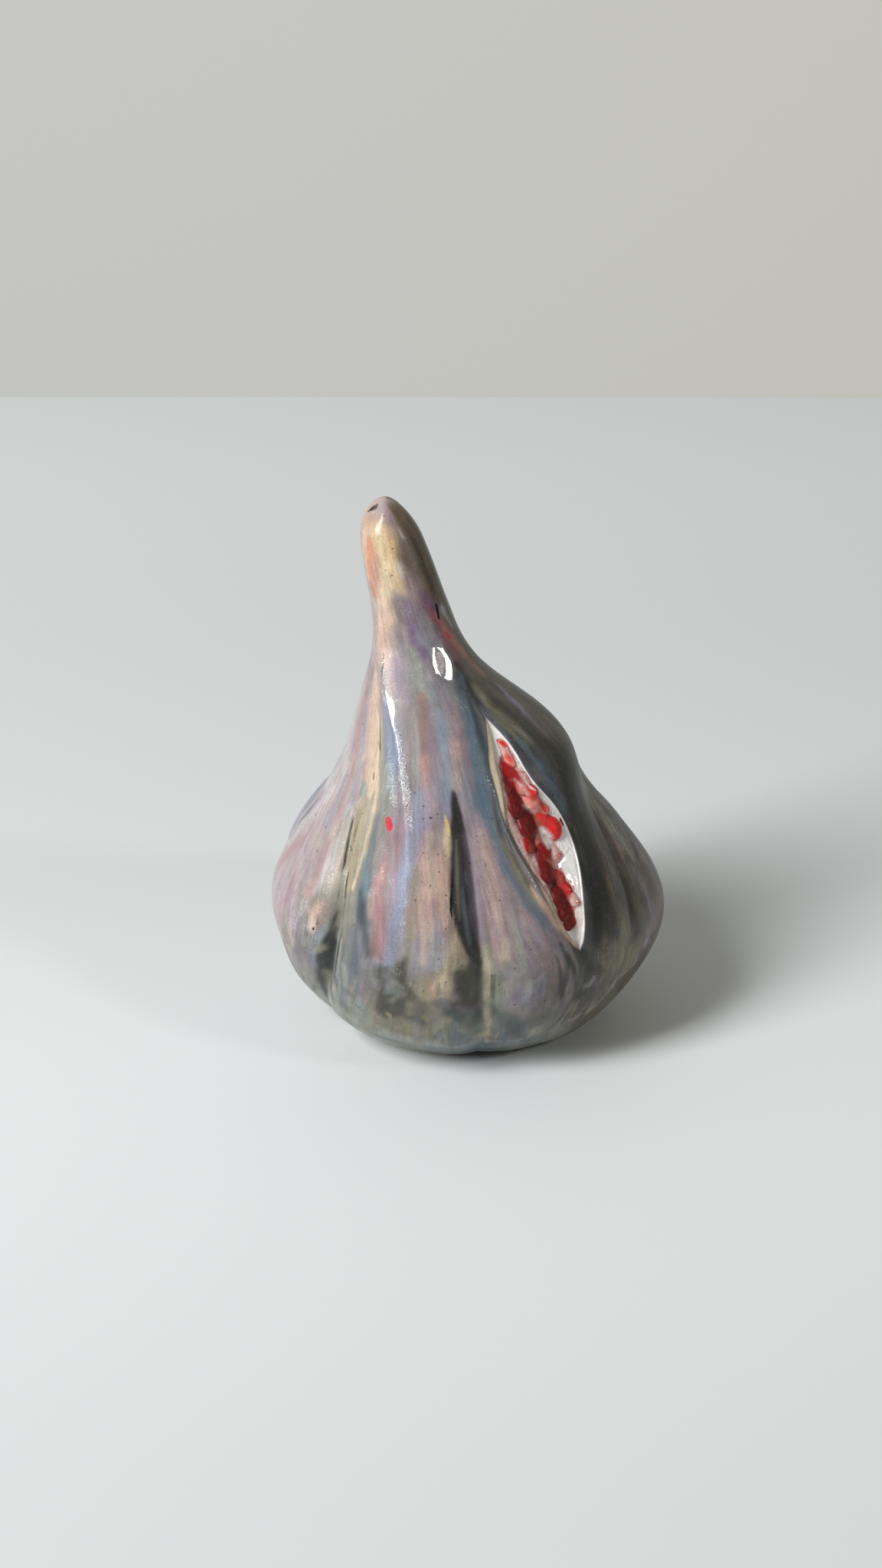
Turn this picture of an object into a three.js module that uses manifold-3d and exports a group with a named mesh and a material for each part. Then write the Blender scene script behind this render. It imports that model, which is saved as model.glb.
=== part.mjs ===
// Glazed ceramic fig: a lobed, hand-modelled body with a leaning stem, standing on its
// flat foot. One lobe is split open and shows white flesh with a cluster of red seeds.
// Millimetres, +Z up. The origin is the middle of the foot. Angles around the body are in
// degrees: 0 faces -Y, the side with the split, and angles grow towards +X.

import * as THREE from "three";
import Module from "manifold-3d";

const wasm = await Module();
wasm.setup();

// Driving dimensions

const FIG_HEIGHT = 66.8;
const STEM_TIP_ROUND = 5.0;
const FOOT_ROUND = 1.8;
const GAP = 0.3;

// Body sections from the foot to the stem tip: height, the section's middle in x and y,
// and its half widths to the left, right, front and back
const SECTIONS = [
  [0.0, 0.0, 0.0, 16.8, 17.0, 15.1, 16.0],
  [5.0, 0.0, 0.0, 21.4, 20.8, 20.8, 20.6],
  [11.0, 0.0, 0.0, 23.8, 24.1, 23.4, 23.0],
  [17.0, 0.0, 0.0, 25.0, 24.4, 24.2, 23.8],
  [24.0, -0.2, 0.0, 22.1, 20.4, 22.4, 21.6],
  [31.0, -0.6, 0.0, 16.9, 15.6, 18.2, 16.6],
  [37.0, -1.4, 0.0, 13.2, 13.1, 14.6, 13.2],
  [43.0, -3.0, 0.1, 10.0, 7.3, 10.4, 9.6],
  [48.5, -5.0, 0.4, 6.6, 4.7, 6.6, 6.2],
  [54.0, -6.9, 0.9, 4.9, 4.3, 4.8, 4.7],
  [60.0, -8.6, 1.4, 4.2, 3.8, 4.2, 4.1],
  [FIG_HEIGHT, -10.0, 2.0, 3.2, 2.4, 3.2, 3.1],
];

// Creases between the lobes, in order around the body: the angle at each height below,
// the depth, the heights between which the crease fades out, and the widths of its two flanks.
// The fifth one runs through the split.
const CREASE_HEIGHTS = [5, 13, 21, 27, 33, 38, 43, 50];
const CREASES = [
  {
    angles: [-153, -150, -149, -153, -160, -166, -171, -174],
    depth: 2.0,
    fade: [25, 38],
    flanks: [4.0, 4.0],
  },
  {
    angles: [-108, -101, -100, -106, -116, -127, -137, -142],
    depth: 2.2,
    fade: [26, 40],
    flanks: [3.5, 5.0],
  },
  {
    angles: [-62, -49, -45, -49, -52.5, -50.5, -50, -57],
    depth: 2.3,
    fade: [22, 47],
    flanks: [3.0, 3.5],
  },
  {
    angles: [4, 3, 3, 2, 0, -2, -4, -5],
    depth: 2.2,
    fade: [28, 38],
    flanks: [2.0, 4.5],
  },
  {
    angles: [31, 36.5, 33.3, 33.9, 30.6, 27.5, 32.9, 22],
    depth: 1.2,
    fade: [42, 52],
    flanks: [3.0, 3.0],
  },
  {
    angles: [57, 57, 62, 72, 92, 108, 121, 126],
    depth: 1.4,
    fade: [26, 40],
    flanks: [5.0, 6.0],
  },
  {
    angles: [104, 104, 106, 116, 126, 139, 147, 150],
    depth: 2.7,
    fade: [26, 40],
    flanks: [4.0, 5.0],
  },
  {
    angles: [152, 150, 150, 154, 160, 166, 171, 173],
    depth: 2.4,
    fade: [30, 44],
    flanks: [3.0, 5.0],
  },
];
const SPLIT_CREASE = 4;
const CREASE_SHARPNESS = 1.25;
const CREASE_DEPTH_AT_FOOT = 0.4;
const CREASE_FULL_DEPTH_HEIGHT = 10;

// Raised ridge down the left of the neck
const RIDGE_HEIGHTS = [24, 32, 36, 40, 43, 46, 50];
const RIDGE_ANGLES = [-20, -22, -26, -30, -35.5, -43, -53];
const RIDGE = { rise: 0.9, halfWidth: 2.2, sharpness: 1.15, from: [22, 34], to: [47, 56] };

// Pit in the stem tip
const TIP_PIT = { angle: -46, height: 65.4, depth: 0.5, radius: 0.8 };

// Split: how far it opens to each side of its crease, and how deep the pocket and its lining go
const SPLIT_HEIGHTS = [16.6, 19.9, 23.2, 26.4, 29.7, 33, 36.2, 39.5, 42.8];
const SPLIT_HALF_ANGLES = [0.3, 4.4, 7.2, 10.6, 13.8, 13.8, 10.9, 9.2, 0.4];
const POCKET = { edgeDepth: 2.6, middleDepth: 5.2, overshoot: 2.0 };
const FLESH = { edgeRecess: 0.4, middleRecess: 0.9, endInset: 1.7, sideInset: 0.5, backInset: 0.45 };
const LOWEST_SLIVER = 0.25;

// Seeds in the split: angle, height and width
const SEEDS = [
  [33.2, 39.5, 1.1],
  [32.4, 38.7, 1.1],
  [31.8, 38.0, 1.2],
  [28.7, 37.2, 1.5],
  [30.4, 36.4, 1.6],
  [34.2, 36.4, 1.1],
  [27.0, 35.2, 1.6],
  [31.9, 35.2, 1.7],
  [35.1, 34.6, 1.8],
  [25.8, 33.5, 2.3],
  [34.2, 33.2, 2.2],
  [38.8, 32.4, 1.3],
  [28.7, 31.3, 2.8],
  [35.7, 31.0, 2.4],
  [39.3, 30.3, 2.4],
  [26.5, 29.6, 1.8],
  [31.7, 29.5, 1.8],
  [32.1, 28.4, 2.3],
  [36.9, 27.6, 1.6],
  [31.8, 27.2, 1.7],
  [30.3, 26.5, 2.4],
  [34.0, 25.2, 1.9],
  [34.9, 24.1, 1.8],
  [32.4, 23.4, 2.3],
  [36.4, 22.9, 1.5],
  [32.4, 21.9, 2.1],
  [33.2, 20.5, 1.7],
];
const SEED = { length: 1.25, thickness: 0.75, sides: 9, rows: 6 };

// Mesh density
const COLUMNS_PER_LOBE = 8;
const FOOT_ROWS = 3;
const BODY_ROWS = 46;
const TIP_ROWS = 5;
const COLUMN_CROWDING = 0.1;
const SPLIT_ROWS = 16;
const SPLIT_COLUMNS = 8;

// Curves

function clamp01(t) {
  return Math.min(Math.max(t, 0), 1);
}

function smoothStep(from, to, x) {
  const t = clamp01((x - from) / (to - from));
  return t * t * (3 - 2 * t);
}

// Natural cubic spline through the points
function spline(xs, ys) {
  const last = xs.length - 1;
  const bend = new Array(xs.length).fill(0);
  const pass = new Array(xs.length).fill(0);
  for (let i = 1; i < last; i += 1) {
    const share = (xs[i] - xs[i - 1]) / (xs[i + 1] - xs[i - 1]);
    const pivot = share * bend[i - 1] + 2;
    const slopeAfter = (ys[i + 1] - ys[i]) / (xs[i + 1] - xs[i]);
    const slopeBefore = (ys[i] - ys[i - 1]) / (xs[i] - xs[i - 1]);
    bend[i] = (share - 1) / pivot;
    pass[i] = ((6 * (slopeAfter - slopeBefore)) / (xs[i + 1] - xs[i - 1]) - share * pass[i - 1]) / pivot;
  }
  for (let i = last - 1; i > 0; i -= 1) {
    bend[i] = bend[i] * bend[i + 1] + pass[i];
  }
  return (x) => {
    const at = Math.min(Math.max(x, xs[0]), xs[last]);
    let i = 0;
    while (i < last - 1 && at > xs[i + 1]) {
      i += 1;
    }
    const step = xs[i + 1] - xs[i];
    const a = (xs[i + 1] - at) / step;
    const b = 1 - a;
    const curve = (a ** 3 - a) * bend[i] + (b ** 3 - b) * bend[i + 1];
    return a * ys[i] + b * ys[i + 1] + (curve * step * step) / 6;
  };
}

// Body surface

const sectionHeights = SECTIONS.map((section) => section[0]);
const [middleX, middleY, halfLeft, halfRight, halfFront, halfBack] = [1, 2, 3, 4, 5, 6].map((column) =>
  spline(sectionHeights, SECTIONS.map((section) => section[column])),
);
const creases = CREASES.map((crease) => ({ ...crease, angleAt: spline(CREASE_HEIGHTS, crease.angles) }));
const ridgeAngle = spline(RIDGE_HEIGHTS, RIDGE_ANGLES);
const splitMiddle = creases[SPLIT_CREASE].angleAt;
const splitHalf = spline(SPLIT_HEIGHTS, SPLIT_HALF_ANGLES);

function radians(degrees) {
  return (degrees * Math.PI) / 180;
}

// Distance along the surface from one angle to another, at a given radius
function arcBetween(fromAngle, toAngle, radius) {
  const turn = ((toAngle - fromAngle + 540) % 360) - 180;
  return radians(turn) * radius;
}

function sectionRadius(angle, z) {
  const sine = Math.sin(radians(angle));
  const cosine = Math.cos(radians(angle));
  const across = sine >= 0 ? halfRight(z) : halfLeft(z);
  const deep = cosine >= 0 ? halfFront(z) : halfBack(z);
  return (across * deep) / Math.hypot(deep * sine, across * cosine);
}

function creaseDepth(crease, angle, z, radius) {
  const arc = arcBetween(crease.angleAt(z), angle, radius);
  const flank = crease.flanks[arc < 0 ? 0 : 1];
  const fading = 1 - smoothStep(crease.fade[0], crease.fade[1], z);
  const risen = smoothStep(0, CREASE_FULL_DEPTH_HEIGHT, z);
  const growing = CREASE_DEPTH_AT_FOOT + (1 - CREASE_DEPTH_AT_FOOT) * risen;
  return crease.depth * fading * growing * Math.exp(-((Math.abs(arc) / flank) ** CREASE_SHARPNESS));
}

function ridgeRise(angle, z, radius) {
  const arc = Math.abs(arcBetween(ridgeAngle(z), angle, radius));
  const along = smoothStep(RIDGE.from[0], RIDGE.from[1], z) * (1 - smoothStep(RIDGE.to[0], RIDGE.to[1], z));
  return RIDGE.rise * along * Math.exp(-((arc / RIDGE.halfWidth) ** RIDGE.sharpness));
}

function tipPitDepth(angle, z, radius) {
  const arc = arcBetween(TIP_PIT.angle, angle, radius);
  const distance = Math.hypot(arc, z - TIP_PIT.height) / TIP_PIT.radius;
  return TIP_PIT.depth * Math.exp(-distance * distance);
}

function quarterRound(t) {
  return Math.sqrt(1 - clamp01(t) ** 2);
}

function skinRadius(angle, z) {
  const plain = sectionRadius(angle, z);
  let radius = plain + ridgeRise(angle, z, plain);
  for (const crease of creases) {
    radius -= creaseDepth(crease, angle, z, plain);
  }
  radius *= quarterRound((z - FIG_HEIGHT + STEM_TIP_ROUND) / STEM_TIP_ROUND);
  radius -= FOOT_ROUND * (1 - quarterRound(1 - z / FOOT_ROUND));
  return radius - tipPitDepth(angle, z, radius);
}

function surfacePoint(angle, z, radius) {
  return [middleX(z) + radius * Math.sin(radians(angle)), middleY(z) - radius * Math.cos(radians(angle)), z];
}

// Closed meshes

class SolidMesh {
  constructor() {
    this.points = [];
    this.triangles = [];
  }

  add(point) {
    this.points.push(point);
    return this.points.length - 1;
  }

  quad(a, b, c, d) {
    this.triangles.push([a, b, c], [a, c, d]);
  }

  solid() {
    const mesh = new wasm.Mesh({
      numProp: 3,
      vertProperties: new Float32Array(this.points.flat()),
      triVerts: new Uint32Array(this.triangles.flat()),
    });
    return new wasm.Manifold(mesh);
  }
}

// Rings of points from the bottom up, closed by a fan at each end
function solidOfRings(rings, bottomPoint, topPoint) {
  const mesh = new SolidMesh();
  const indices = rings.map((ring) => ring.map((point) => mesh.add(point)));
  const count = rings[0].length;
  const bottom = mesh.add(bottomPoint);
  const top = mesh.add(topPoint);
  for (let column = 0; column < count; column += 1) {
    const next = (column + 1) % count;
    mesh.triangles.push([bottom, indices[0][next], indices[0][column]]);
    mesh.triangles.push([top, indices[rings.length - 1][column], indices[rings.length - 1][next]]);
    for (let row = 0; row < rings.length - 1; row += 1) {
      mesh.quad(indices[row][column], indices[row][next], indices[row + 1][next], indices[row + 1][column]);
    }
  }
  return mesh.solid();
}

// Columns crowd towards the creases, so that their bottoms stay crisp
function columnAngle(column, z) {
  const lobe = Math.floor(column / COLUMNS_PER_LOBE);
  const share = (column % COLUMNS_PER_LOBE) / COLUMNS_PER_LOBE;
  const eased = share - COLUMN_CROWDING * Math.sin(2 * Math.PI * share);
  const start = creases[lobe].angleAt(z);
  const isLast = lobe === creases.length - 1;
  const end = isLast ? creases[0].angleAt(z) + 360 : creases[lobe + 1].angleAt(z);
  return start + (end - start) * eased;
}

function bodyHeights() {
  const heights = [];
  for (let row = 0; row < FOOT_ROWS; row += 1) {
    heights.push(FOOT_ROUND * (1 - Math.cos((row / FOOT_ROWS) * (Math.PI / 2))));
  }
  const straight = FIG_HEIGHT - STEM_TIP_ROUND - FOOT_ROUND;
  for (let row = 0; row < BODY_ROWS; row += 1) {
    heights.push(FOOT_ROUND + (straight * row) / BODY_ROWS);
  }
  for (let row = 0; row < TIP_ROWS; row += 1) {
    heights.push(FIG_HEIGHT - STEM_TIP_ROUND * (1 - Math.sin((row / TIP_ROWS) * (Math.PI / 2))));
  }
  return heights;
}

function wholeBody() {
  const columns = creases.length * COLUMNS_PER_LOBE;
  const rings = bodyHeights().map((z) =>
    Array.from({ length: columns }, (_, column) => {
      const angle = columnAngle(column, z);
      return surfacePoint(angle, z, skinRadius(angle, z));
    }),
  );
  return solidOfRings(rings, [0, 0, 0], surfacePoint(0, FIG_HEIGHT, 0));
}

// A spindle between the split's edges. along and across run from 0 to 1 over the split;
// front and back give the depth of its two faces under the skin there.
function spindle(endInset, sideInset, front, back) {
  const bottom = SPLIT_HEIGHTS[0] + endInset;
  const top = SPLIT_HEIGHTS[SPLIT_HEIGHTS.length - 1] - endInset;
  const rings = [];
  for (let row = 0; row <= SPLIT_ROWS; row += 1) {
    const along = row / SPLIT_ROWS;
    const z = bottom + (top - bottom) * (0.5 - 0.5 * Math.cos(Math.PI * along));
    const middle = splitMiddle(z);
    const degreesPerMillimetre = 1 / radians(skinRadius(middle, z));
    const narrowed = splitHalf(z) - sideInset * degreesPerMillimetre;
    const half = Math.max(narrowed, LOWEST_SLIVER * degreesPerMillimetre);
    const faces = [front, back].map((depth) =>
      Array.from({ length: SPLIT_COLUMNS + 1 }, (_, column) => {
        const across = column / SPLIT_COLUMNS;
        const angle = middle + half * (2 * across - 1);
        return surfacePoint(angle, z, skinRadius(angle, z) - depth(along, across));
      }),
    );
    rings.push([...faces[0], ...faces[1].reverse()]);
  }
  const middleOf = (ring) => [0, 1, 2].map((axis) => (ring[0][axis] + ring[SPLIT_COLUMNS][axis]
    + ring[SPLIT_COLUMNS + 1][axis] + ring[2 * SPLIT_COLUMNS + 1][axis]) / 4);
  return solidOfRings(rings, middleOf(rings[0]), middleOf(rings[SPLIT_ROWS]));
}

// Fullest in the middle of the split, nothing at its edges and ends
function swell(along, across) {
  return Math.sin(Math.PI * clamp01(across)) * Math.sqrt(Math.sin(Math.PI * clamp01(along)));
}

function pocketDepth(along, across) {
  return POCKET.edgeDepth + (POCKET.middleDepth - POCKET.edgeDepth) * swell(along, across);
}

function fleshRecess(along, across) {
  return FLESH.edgeRecess + (FLESH.middleRecess - FLESH.edgeRecess) * swell(along, across);
}

function pocket() {
  return spindle(0, 0, () => -POCKET.overshoot, pocketDepth);
}

function fleshLining() {
  const back = (along, across) => pocketDepth(along, across) - FLESH.backInset;
  return spindle(FLESH.endInset, FLESH.sideInset, fleshRecess, back);
}

// An egg-shaped seed half sunk in the flesh, grown all round by a margin
function seed(angle, z, width, margin) {
  const along = (z - SPLIT_HEIGHTS[0]) / (SPLIT_HEIGHTS[SPLIT_HEIGHTS.length - 1] - SPLIT_HEIGHTS[0]);
  const across = 0.5 + (angle - splitMiddle(z)) / (2 * splitHalf(z));
  const radius = skinRadius(angle, z) - fleshRecess(along, across);
  const centre = new THREE.Vector3(...surfacePoint(angle, z, radius));
  const above = new THREE.Vector3(...surfacePoint(angle, z + 1, skinRadius(angle, z + 1)));
  const below = new THREE.Vector3(...surfacePoint(angle, z - 1, skinRadius(angle, z - 1)));
  const lengthwise = above.sub(below).normalize();
  const outward = new THREE.Vector3(Math.sin(radians(angle)), -Math.cos(radians(angle)), 0);
  const sideways = new THREE.Vector3().crossVectors(lengthwise, outward).normalize();
  const thickness = new THREE.Vector3().crossVectors(sideways, lengthwise);
  const radii = [1, SEED.length, SEED.thickness].map((share) => (width / 2) * share + margin);
  const place = (x, y, h) => centre.clone()
    .addScaledVector(sideways, x * radii[0])
    .addScaledVector(lengthwise, y * radii[1])
    .addScaledVector(thickness, h * radii[2])
    .toArray();
  const rings = [];
  for (let row = 1; row < SEED.rows; row += 1) {
    const tilt = (row / SEED.rows) * Math.PI;
    rings.push(Array.from({ length: SEED.sides }, (_, side) => {
      const turn = (side / SEED.sides) * 2 * Math.PI;
      return place(Math.sin(tilt) * Math.cos(turn), -Math.cos(tilt), -Math.sin(tilt) * Math.sin(turn));
    }));
  }
  return solidOfRings(rings, place(0, -1, 0), place(0, 1, 0));
}

// Drops the loose scraps that a cut can leave
function largestPiece(solid) {
  return solid.decompose().reduce((best, piece) => (piece.volume() > best.volume() ? piece : best));
}

function seedCluster(margin) {
  return SEEDS.map(([angle, z, width]) => seed(angle, z, width, margin)).reduce((sum, one) => sum.add(one));
}

// Parts

function namedMesh(name, solid, color, roughness) {
  const { vertProperties, triVerts } = solid.getMesh();
  const geometry = new THREE.BufferGeometry();
  geometry.setAttribute("position", new THREE.BufferAttribute(vertProperties, 3));
  geometry.setIndex(new THREE.BufferAttribute(triVerts, 1));
  geometry.computeVertexNormals();
  const mesh = new THREE.Mesh(geometry, new THREE.MeshStandardMaterial({ color, roughness, metalness: 0 }));
  mesh.name = name;
  return mesh;
}

const fig = new THREE.Group();
fig.add(namedMesh("fig_body", wholeBody().subtract(pocket()), 0x7d7480, 0.18));
fig.add(namedMesh("split_flesh", largestPiece(fleshLining().subtract(seedCluster(GAP))), 0xefe9e4, 0.15));
fig.add(namedMesh("seed_cluster", seedCluster(0), 0xb02a2c, 0.15));

export default fig;
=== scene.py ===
"""Glazed ceramic fig: painted skin, white flesh and red seeds in the split, on a table top.

The shape functions work in millimetres and degrees, and the meshes are in metres. +Z is up.
Angle 0 faces -Y, the side with the split, and angles grow towards +X.
"""

import math

import bpy
import numpy as np
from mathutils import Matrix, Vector


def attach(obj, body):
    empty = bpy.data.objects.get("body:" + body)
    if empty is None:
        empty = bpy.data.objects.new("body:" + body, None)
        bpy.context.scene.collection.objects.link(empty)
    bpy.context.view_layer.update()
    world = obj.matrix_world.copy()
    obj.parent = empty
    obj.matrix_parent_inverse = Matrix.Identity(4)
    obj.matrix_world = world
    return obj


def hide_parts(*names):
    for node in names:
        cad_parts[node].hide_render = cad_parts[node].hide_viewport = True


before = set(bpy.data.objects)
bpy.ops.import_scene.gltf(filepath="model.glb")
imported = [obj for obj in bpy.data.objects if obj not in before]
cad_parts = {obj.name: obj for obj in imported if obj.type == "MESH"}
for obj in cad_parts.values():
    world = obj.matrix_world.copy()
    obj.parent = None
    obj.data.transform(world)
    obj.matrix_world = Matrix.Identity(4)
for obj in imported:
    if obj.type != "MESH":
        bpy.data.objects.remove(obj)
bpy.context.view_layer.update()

bl_info = {
    "name": "Glazed ceramic fig",
    "version": (1, 0, 0),
    "blender": (4, 5, 0),
    "location": "3D View > Sidebar > Fig",
    "description": "Builds the painted skin, the split and the studio table of a ceramic fig",
    "category": "Object",
}

MILLIMETRE = 0.001
MILLIMETRES_PER_METRE = (1000.0, 1000.0, 1000.0)

# Body shape, the same as in the part

FIG_HEIGHT = 66.8
STEM_TIP_ROUND = 5.0
FOOT_ROUND = 1.8

# Height, the section's middle in x and y, and its half widths to the left, right, front and back
SECTIONS = [
    (0.0, 0.0, 0.0, 16.8, 17.0, 15.1, 16.0),
    (5.0, 0.0, 0.0, 21.4, 20.8, 20.8, 20.6),
    (11.0, 0.0, 0.0, 23.8, 24.1, 23.4, 23.0),
    (17.0, 0.0, 0.0, 25.0, 24.4, 24.2, 23.8),
    (24.0, -0.2, 0.0, 22.1, 20.4, 22.4, 21.6),
    (31.0, -0.6, 0.0, 16.9, 15.6, 18.2, 16.6),
    (37.0, -1.4, 0.0, 13.2, 13.1, 14.6, 13.2),
    (43.0, -3.0, 0.1, 10.0, 7.3, 10.4, 9.6),
    (48.5, -5.0, 0.4, 6.6, 4.7, 6.6, 6.2),
    (54.0, -6.9, 0.9, 4.9, 4.3, 4.8, 4.7),
    (60.0, -8.6, 1.4, 4.2, 3.8, 4.2, 4.1),
    (FIG_HEIGHT, -10.0, 2.0, 3.2, 2.4, 3.2, 3.1),
]

# Creases between the lobes: angle at each height, depth, fade heights, widths of both flanks
CREASE_HEIGHTS = (5, 13, 21, 27, 33, 38, 43, 50)
CREASES = [
    ((-153, -150, -149, -153, -160, -166, -171, -174), 2.0, (25, 38), (4.0, 4.0)),
    ((-108, -101, -100, -106, -116, -127, -137, -142), 2.2, (26, 40), (3.5, 5.0)),
    ((-62, -49, -45, -49, -52.5, -50.5, -50, -57), 2.3, (22, 47), (3.0, 3.5)),
    ((4, 3, 3, 2, 0, -2, -4, -5), 2.2, (28, 38), (2.0, 4.5)),
    ((31, 36.5, 33.3, 33.9, 30.6, 27.5, 32.9, 22), 1.2, (42, 52), (3.0, 3.0)),
    ((57, 57, 62, 72, 92, 108, 121, 126), 1.4, (26, 40), (5.0, 6.0)),
    ((104, 104, 106, 116, 126, 139, 147, 150), 2.7, (26, 40), (4.0, 5.0)),
    ((152, 150, 150, 154, 160, 166, 171, 173), 2.4, (30, 44), (3.0, 5.0)),
]
SPLIT_CREASE = 4
CREASE_SHARPNESS = 1.25
CREASE_DEPTH_AT_FOOT = 0.4
CREASE_FULL_DEPTH_HEIGHT = 10.0

RIDGE_HEIGHTS = (24, 32, 36, 40, 43, 46, 50)
RIDGE_ANGLES = (-20, -22, -26, -30, -35.5, -43, -53)
RIDGE_RISE = 0.9
RIDGE_HALF_WIDTH = 2.2
RIDGE_SHARPNESS = 1.15
RIDGE_FROM = (22, 34)
RIDGE_TO = (47, 56)

TIP_PIT_ANGLE = -46.0
TIP_PIT_HEIGHT = 65.4
TIP_PIT_DEPTH = 0.5
TIP_PIT_RADIUS = 0.8

# Flat spot rubbed on the neck: where it is, which way it faces, half its width and height,
# how far it sinks in, and where its rim starts and ends, as shares of its half size
FLAT_SPOT_ANGLE = 16.5
FLAT_SPOT_HEIGHT = 48.55
FLAT_SPOT_TURN = 29.0
FLAT_SPOT_TILT = 32.0
FLAT_SPOT_HALF_SIZE = (1.25, 1.95)
FLAT_SPOT_SINK = 0.05
FLAT_SPOT_RIM = (0.95, 1.35)

# Shallow dips pressed into the clay: angle, height, half width, half height, depth
THUMB_DIPS = [
    (-30.0, 58.6, 0.8, 1.8, 0.12),
    (9.0, 24.0, 2.6, 5.0, 0.25),
    (24.0, 14.0, 1.6, 4.0, 0.35),
    (-26.0, 14.0, 2.0, 4.0, 0.25),
    (-8.0, 44.0, 1.5, 6.0, 0.15),
]

# Fine lines scored beside the creases: path of angles and heights, half width, depth
SCORED_LINES = [
    ([(-42, 18.5), (-44, 14.5)], 0.35, 0.25),
    ([(-55, 31), (-52.5, 29), (-50, 26.5), (-49, 25)], 0.25, 0.2),
    ([(30, 17.5), (31.5, 15.3), (31, 12)], 0.5, 0.3),
    ([(25, 17.7), (27, 14.7), (27.5, 12.3)], 0.5, 0.25),
]

# Unevenness of each surface, coarse and fine: size of the lumps, seed and height
CLAY_LUMPS = ((5.0, 11, 0.16), (2.2, 12, 0.05))
FLESH_LUMPS = ((1.6, 31, 0.3), (0.7, 32, 0.1))
SEED_LUMPS = ((0.9, 41, 0.22), (0.4, 42, 0.1))
SMOOTH_FOOT_HEIGHT = 2.0

# Split: how far it opens to each side of its crease
SPLIT_HEIGHTS = (16.6, 19.9, 23.2, 26.4, 29.7, 33, 36.2, 39.5, 42.8)
SPLIT_HALF_ANGLES = (0.3, 4.4, 7.2, 10.6, 13.8, 13.8, 10.9, 9.2, 0.4)
LEAST_SPLIT_HALF = 0.3
SPLIT_END_LENGTH = 2.2

# The split's walls from the lip inwards: distance from the lip and depth under the skin.
# The left one starts with a ledge, whose width changes up the split.
LEFT_WALL = [
    (0.0, 0.0), (0.08, 0.05), (0.18, 0.13), (0.34, 0.17), (0.52, 0.19),
    (0.68, 0.24), (0.78, 0.38), (0.84, 0.8), (0.90, 1.5), (1.1, 2.2),
]
LEDGE_HEIGHTS = (17, 20, 24, 27, 31, 34, 37, 40, 42)
LEDGE_SHARES = (0.8, 1.3, 1.2, 0.6, 0.55, 1.0, 1.9, 2.1, 1.0)
RIGHT_WALL = [
    (0.0, 0.0), (0.10, 0.03), (0.20, 0.11), (0.28, 0.24), (0.33, 0.42),
    (0.36, 0.8), (0.40, 1.5), (0.60, 2.2),
]
WALL_FLOOR_DEPTH = 2.4

# Flesh: its depth under the skin, how much less that is at the right, between which shares
# across it rises there, the hollow in it and how that leans to the left, the edge that its lumps
# stay off, and the most that it rises under the seeds
FLESH_RECESS = 0.34
FLESH_RIGHT_RISE = 0.16
FLESH_RISES_FROM = (0.55, 0.95)
FLESH_HOLLOW = 0.45
HOLLOW_LEAN = 0.85
FLESH_EDGE = 0.12
MOST_SEED_LIFT = 0.12

# Seeds: their length and thickness for a width of 1, how much longer the sloping skin is than
# it is high there, and how deep under the flesh their sheet runs between them
SEED_LENGTH = 1.25
SEED_THICKNESS = 0.75
SLOPE_LENGTH = 1.2
SEED_SHEET_DEPTH = 0.13
# How much fuller the seeds are than their bare shapes, how sharply they keep apart where they
# melt into each other, how steeply each one falls off around itself, and where its paint ends
SEED_FULLNESS = 1.12
SEED_SHARPNESS = 7.0
SEED_FALL = 0.2
SEED_PAINT_EDGE = 0.3

# Sheets of flesh and seeds: the share of the split's width that they fill, how far their backs
# lie under the skin, and how much less that is at the sides
SHEET_SHARE = 0.985
FLESH_BACK_DEPTH = 2.1
SEED_BACK_DEPTH = 1.9
SHEET_BACK_CURVE = 0.3

# Seeds in the split: angle, height and width
SEEDS = [
    (33.2, 39.5, 1.1), (32.4, 38.7, 1.1), (31.8, 38.0, 1.2), (28.7, 37.2, 1.5),
    (30.4, 36.4, 1.6), (34.2, 36.4, 1.1), (27.0, 35.2, 1.6), (31.9, 35.2, 1.7),
    (35.1, 34.6, 1.8), (25.8, 33.5, 2.3), (34.2, 33.2, 2.2), (38.8, 32.4, 1.3),
    (28.7, 31.3, 2.8), (35.7, 31.0, 2.4), (39.3, 30.3, 2.4), (26.5, 29.6, 1.8),
    (31.7, 29.5, 1.8), (32.1, 28.4, 2.3), (36.9, 27.6, 1.6), (31.8, 27.2, 1.7),
    (30.3, 26.5, 2.4), (34.0, 25.2, 1.9), (34.9, 24.1, 1.8), (32.4, 23.4, 2.3),
    (36.4, 22.9, 1.5), (32.4, 21.9, 2.1), (33.2, 20.5, 1.7),
]

# Mesh density: columns from each crease to the next, with the split's inside after the fourth
LOBE_COLUMNS = (32, 60, 76, 40, 44, 38, 32, 36)
FOOT_ROWS = 8
BODY_ROWS = 212
TIP_ROWS = 16
SOLE_RINGS = 5
COLUMN_CROWDING = 0.09
# Rows, columns and distance from the split's ends of each sheet
FLESH_GRID = (240, 72, 0.5)
SEED_GRID = (400, 110, 1.4)

WIDEST_HEIGHT = 19.0
FRONT_LINE_ANGLE = -20.0
LEAST_RADIUS = 1.0
LEAST_FACING = 0.2
TINY = 1e-9


# Curves

def smooth_step(start, end, x):
    t = np.clip((x - start) / (end - start), 0, 1)
    return t * t * (3 - 2 * t)


def quarter_round(t):
    return np.sqrt(1 - np.clip(t, 0, 1) ** 2)


def direction(turn, elevation):
    """A step of length 1 that faces a turn around the fig and rises by an elevation."""
    turn = math.radians(turn)
    elevation = math.radians(elevation)
    flat = math.cos(elevation)
    return (math.sin(turn) * flat, -math.cos(turn) * flat, math.sin(elevation))


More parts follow.
